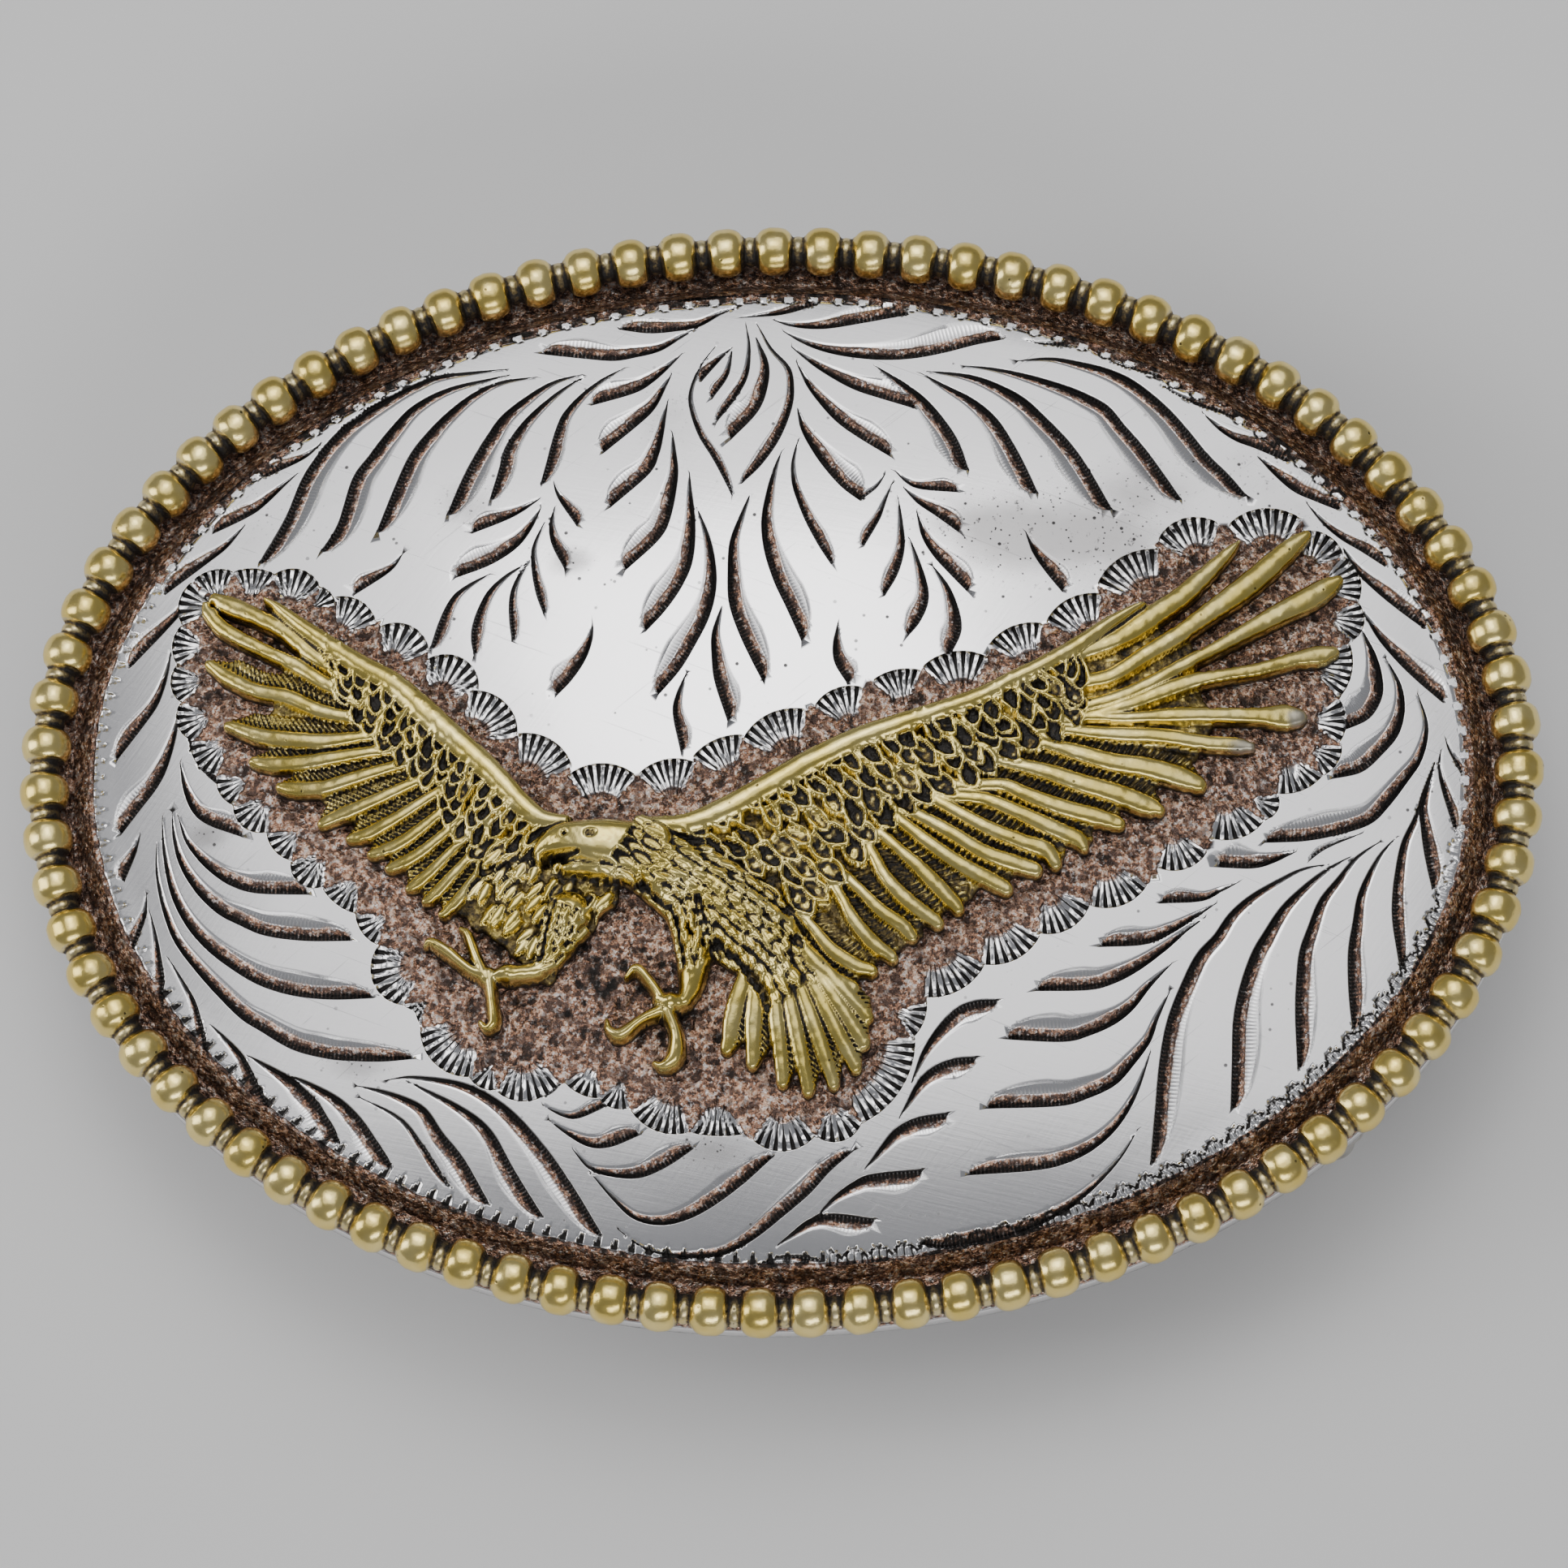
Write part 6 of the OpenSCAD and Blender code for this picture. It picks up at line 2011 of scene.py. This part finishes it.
                k = int(np.clip(np.searchsorted(twalk, s), 0, len(thigh) - 1))
                for off in np.arange(-thigh[k, 2] * 0.8, thigh[k, 2] * 0.85, 0.6):
                    at = thigh[k, :2] + tleft[k] * off + grain.uniform(-0.12, 0.12, 2)
                    top = thigh[k, 3] * math.sqrt(max(1 - (off / thigh[k, 2]) ** 2, 0.15))
                    self.flake(at, talong[k], 0.95, 0.5, top + 0.12)

    def flake(self, at: Array, way: Array, length: float, width: float, top: float) -> None:
        """Lays one short pointed feather over what is there, its tip highest.

        Args:
            at: The tip's place.
            way: Unit direction that it points in.
            length: Its length.
            width: Its width.
            top: Height of its tip.
        """
        r = self.relief
        win = r.window(np.array([at, at - way * length]), width)
        px, py = r.x[win] - at[0], r.y[win] - at[1]
        s = -(px * way[0] + py * way[1])
        d = np.abs(-px * way[1] + py * way[0])
        edge = width / 2 * np.sqrt(np.clip(s / (0.5 * length), 0, 1)) * np.clip(1.25 - 0.5 * s / length, 0, 1)
        on = (s > 0) & (s < length) & (d < edge) & (r.h[win] > LAID)
        height = top - 0.3 * (s / length) - 0.16 * (d / np.maximum(edge, 0.05)) ** 2
        r.h[win] = np.where(on, height, r.h[win])

    def lay_head(self) -> None:
        """Lays the head, the hooked beak, the eye and the ragged edge of the neck."""
        r = self.relief
        r.mound(JAW, 3.0)
        r.mound(HEAD, 3.5)
        grain = np.random.default_rng(31)
        for x, y in NECK_FRILL:
            way = unit(np.array([0.85, -0.5]) + grain.uniform(-0.12, 0.12, 2))
            self.flake(np.array([x + 0.5, y - 0.2]), way, 1.5, 0.8, 2.1)
        win, _, _, _, far, (half,) = r.beside(np.array(MOUTH), 0.6)
        r.h[win] -= 0.75 * np.clip(1 - far / (half + 0.1), 0, 1) * (r.h[win] > LAID)
        for (cx, cy), rx, ry in ((EYE, 0.36, 0.25), (NOSTRIL, 0.16, 0.13)):
            spot = np.hypot((r.x - cx) / rx, (r.y - cy) / ry)
            r.h += -0.34 * (1 - smooth_step(spot, 0.55, 1.25)) * (r.h > LAID)
        spot = np.hypot((r.x - EYE[0]) / 0.28, (r.y - EYE[1]) / 0.18)
        r.h += 0.26 * np.sqrt(np.clip(1 - spot**2, 0, 1)) * (r.h > LAID)

    def lay_feet(self) -> None:
        """Lays the shanks, toes and claws."""
        for limb in LIMBS[2:]:
            self.relief.mound(tuple((x, y, 1.12 * radius, top) for x, y, radius, top in limb))

    def build(self, material: bpy.types.Material) -> None:
        """Builds the eagle's mesh with its side walls.

        Args:
            material: Its material.
        """
        r = self.relief
        on = r.h > LAID
        uneven = 0.018 * self.grain.at(r.x, r.y, 0.9) + 0.012 * Grain(54).at(r.x, r.y, 0.35)
        r.h = np.where(on, r.h + uneven, r.h)
        # The recess mask darkens the hollows, the low web under the feathers and the eye: painted shade with
        # a grimy tone.
        tight = np.clip((r.blurred(0.2) - r.h) / 0.2, 0, 1)
        broad = np.clip((r.blurred(0.7) - r.h) / 0.42, 0, 1)
        recess = np.clip(0.9 * tight + 0.85 * broad + 0.4 * smooth_step(0.78 - r.h, 0.0, 0.25), 0, 1)
        cap = 0.46 + 0.2 * self.grain.at(r.x, r.y, 0.7)
        recess = np.where(r.h < 0.62, np.minimum(recess, cap), recess)
        eye = np.exp(-(((r.x - EYE[0]) / 0.32) ** 2 + ((r.y - EYE[1]) / 0.22) ** 2))
        recess = np.maximum(recess, 0.5 * eye)
        grey_patch = sum(np.exp(-(((r.x - x) / a) ** 2 + ((r.y - y) / b) ** 2)) for x, y, a, b in WORN_TIPS)
        number = np.full(on.shape, -1)
        cell = on[:-1, :-1] & on[1:, :-1] & on[:-1, 1:] & on[1:, 1:]
        used = np.zeros(on.shape, bool)
        for a, b in ((0, 0), (1, 0), (0, 1), (1, 1)):
            used[a : a + cell.shape[0], b : b + cell.shape[1]] |= cell
        number[used] = np.arange(int(used.sum()))
        j, i = np.nonzero(cell)
        quads = np.column_stack([number[j, i], number[j, i + 1], number[j + 1, i + 1], number[j + 1, i]])
        x, y, h = r.x[used], r.y[used], r.h[used]
        edges = np.vstack([quads[:, [k, (k + 1) % 4]] for k in range(4)])
        code = edges[:, 0].astype(np.int64) * len(x) + edges[:, 1]
        back = edges[:, 1].astype(np.int64) * len(x) + edges[:, 0]
        rim = edges[~np.isin(code, back)]
        x, y = self.ease_rim(x, y, rim)
        z = self.form.dome_z(x, y)
        on_rim = np.unique(rim)
        place = np.full(len(x), -1)
        place[on_rim] = np.arange(len(on_rim))
        top = np.column_stack([x, y, z + h])
        top[on_rim, 2] = z[on_rim] + np.minimum(h[on_rim], 1.0) * 0.8
        foot = np.column_stack([x[on_rim], y[on_rim], z[on_rim] - 0.3])
        near, far = rim[:, 0], rim[:, 1]
        skirt = np.column_stack([far, near, len(x) + place[near], len(x) + place[far]])
        # The side walls are painted almost fully dark: painted shade.
        masks = {
            "recess": np.concatenate([recess[used], np.full(len(on_rim), 0.95)]),
            "grey_patch": np.concatenate([np.clip(grey_patch[used], 0, 1), np.zeros(len(on_rim))]),
        }
        points = np.vstack([top, foot])
        make_piece("cast_eagle", points, [quads, skirt], material, "eagle", masks)

    def ease_rim(self, x: Array, y: Array, rim: Array) -> tuple[Array, Array]:
        """Smooths the outline's steps.

        Args:
            x: Places along X.
            y: Places along Y.
            rim: The outline's edges.

        Returns:
            The eased places.
        """
        for _ in range(3):
            sx, sy, n = np.zeros(len(x)), np.zeros(len(x)), np.zeros(len(x))
            for a, b in ((0, 1), (1, 0)):
                np.add.at(sx, rim[:, a], x[rim[:, b]])
                np.add.at(sy, rim[:, a], y[rim[:, b]])
                np.add.at(n, rim[:, a], 1)
            on = n > 1
            x = np.where(on, 0.5 * x + 0.5 * sx / np.maximum(n, 1), x)
            y = np.where(on, 0.5 * y + 0.5 * sy / np.maximum(n, 1), y)
        return x, y


# Back and studio


@dataclass(frozen=True)
class BackHardware:
    """The wire loop and the hook post, which keep their solids."""

    names: tuple[str, ...] = ("belt_loop", "hook_post")

    def dress(self, material: bpy.types.Material) -> None:
        """Gives both pieces their finish.

        Args:
            material: The material.
        """
        for name in self.names:
            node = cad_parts[name]
            for slot in node.material_slots:
                slot.material = material
            if not node.material_slots:
                node.data.materials.append(material)
            log.info("%s: keeps its solid", name)


@dataclass(frozen=True)
class Studio:
    """The pale floor, the soft lights and the camera at the photo's angle."""

    focal_px: float = 8960.0
    image_px: float = 1932.0
    angles: tuple[float, float, float] = (-0.298385, -0.035236, -0.006006)
    shift: tuple[float, float, float] = (-0.27569, 0.82793, -438.678)

    def set_camera(self) -> None:
        """Sets the camera where the photo was taken from."""
        rx, ry, rz = self.angles
        turn = Matrix.Rotation(rz, 3, "Z") @ Matrix.Rotation(rx, 3, "X") @ Matrix.Rotation(ry, 3, "Y")
        camera = bpy.data.cameras.new("photo_camera")
        camera.sensor_width = 36.0
        camera.lens = self.focal_px / self.image_px * camera.sensor_width
        camera.clip_start, camera.clip_end = 0.05, 5.0
        holder = bpy.data.objects.new("photo_camera", camera)
        bpy.context.scene.collection.objects.link(holder)
        back = turn.transposed()
        at = back @ -Vector(self.shift) + Vector((0, 0, FORM.bead_z))
        holder.matrix_world = Matrix.Translation(at * MM) @ back.to_4x4()
        bpy.context.scene.camera = holder

    def set_light(
        self, name: str, at: tuple[float, float, float], size: tuple[float, float], power: float
    ) -> None:
        """Adds a soft light that looks at the buckle.

        Args:
            name: The light's name.
            at: Its place in metres.
            size: Its width and height in metres.
            power: Its power in watts.
        """
        data = bpy.data.lights.new(name, "AREA")
        data.shape = "RECTANGLE"
        data.size, data.size_y = size
        data.energy = power
        lamp = bpy.data.objects.new(name, data)
        bpy.context.scene.collection.objects.link(lamp)
        lamp.location = at
        lamp.rotation_euler = (Vector((0, 0, 0.01)) - Vector(at)).to_track_quat("-Z", "Y").to_euler()

    def build(self) -> None:
        """Sets the floor, the sky and the lights."""
        mesh = bpy.data.meshes.new("floor")
        mesh.from_pydata([(-2, -2, 0), (2, -2, 0), (2, 2, 0), (-2, 2, 0)], [], [(0, 1, 2, 3)])
        mesh.materials.append(PaleFloor().make("pale_floor"))
        floor = bpy.data.objects.new("floor", mesh)
        bpy.context.scene.collection.objects.link(floor)
        world = bpy.data.worlds.new("studio")
        world.use_nodes = True
        sky = world.node_tree.nodes["Background"]
        sky.inputs["Color"].default_value = (0.80, 0.83, 0.88, 1.0)
        sky.inputs["Strength"].default_value = 0.3
        bpy.context.scene.world = world
        self.set_light("soft_top", (0.0, 0.23, 0.62), (0.62, 0.7), 1.7)
        self.set_light("soft_core", (-0.03, 0.22, 0.55), (0.2, 0.24), 0.4)
        self.set_light("soft_left", (-0.6, 0.0, 0.32), (0.3, 0.5), 1.6)
        self.set_light("soft_front", (0.15, -0.6, 0.4), (0.6, 0.2), 1.6)


def main() -> None:
    """Builds the buckle piece by piece."""
    logging.basicConfig(level=logging.INFO, format="%(name)s: %(message)s", stream=sys.stdout)
    studio = Studio()
    studio.set_camera()
    studio.build()
    silver = EngravedSilver().make("engraved_silver")
    eagle = CastEagle(FORM)
    plate = EngravedPlate(FORM, EagleGround(), LeafWork(), EdgeTeeth())
    plate.build_face(eagle.covered, silver)
    plate.build_body(silver)
    BeadBorder(FORM).build(WornGilt().make("gilt_beads"))
    cast = WornGilt(gold=(0.68, 0.53, 0.14), pale=(0.80, 0.66, 0.25), polish=0.18, dent=0.008)
    eagle.build(cast.make("cast_gold"))
    BackHardware().dress(SatinNickel().make("satin_nickel"))
    bpy.context.view_layer.update()


if __name__ == "__main__":
    main()
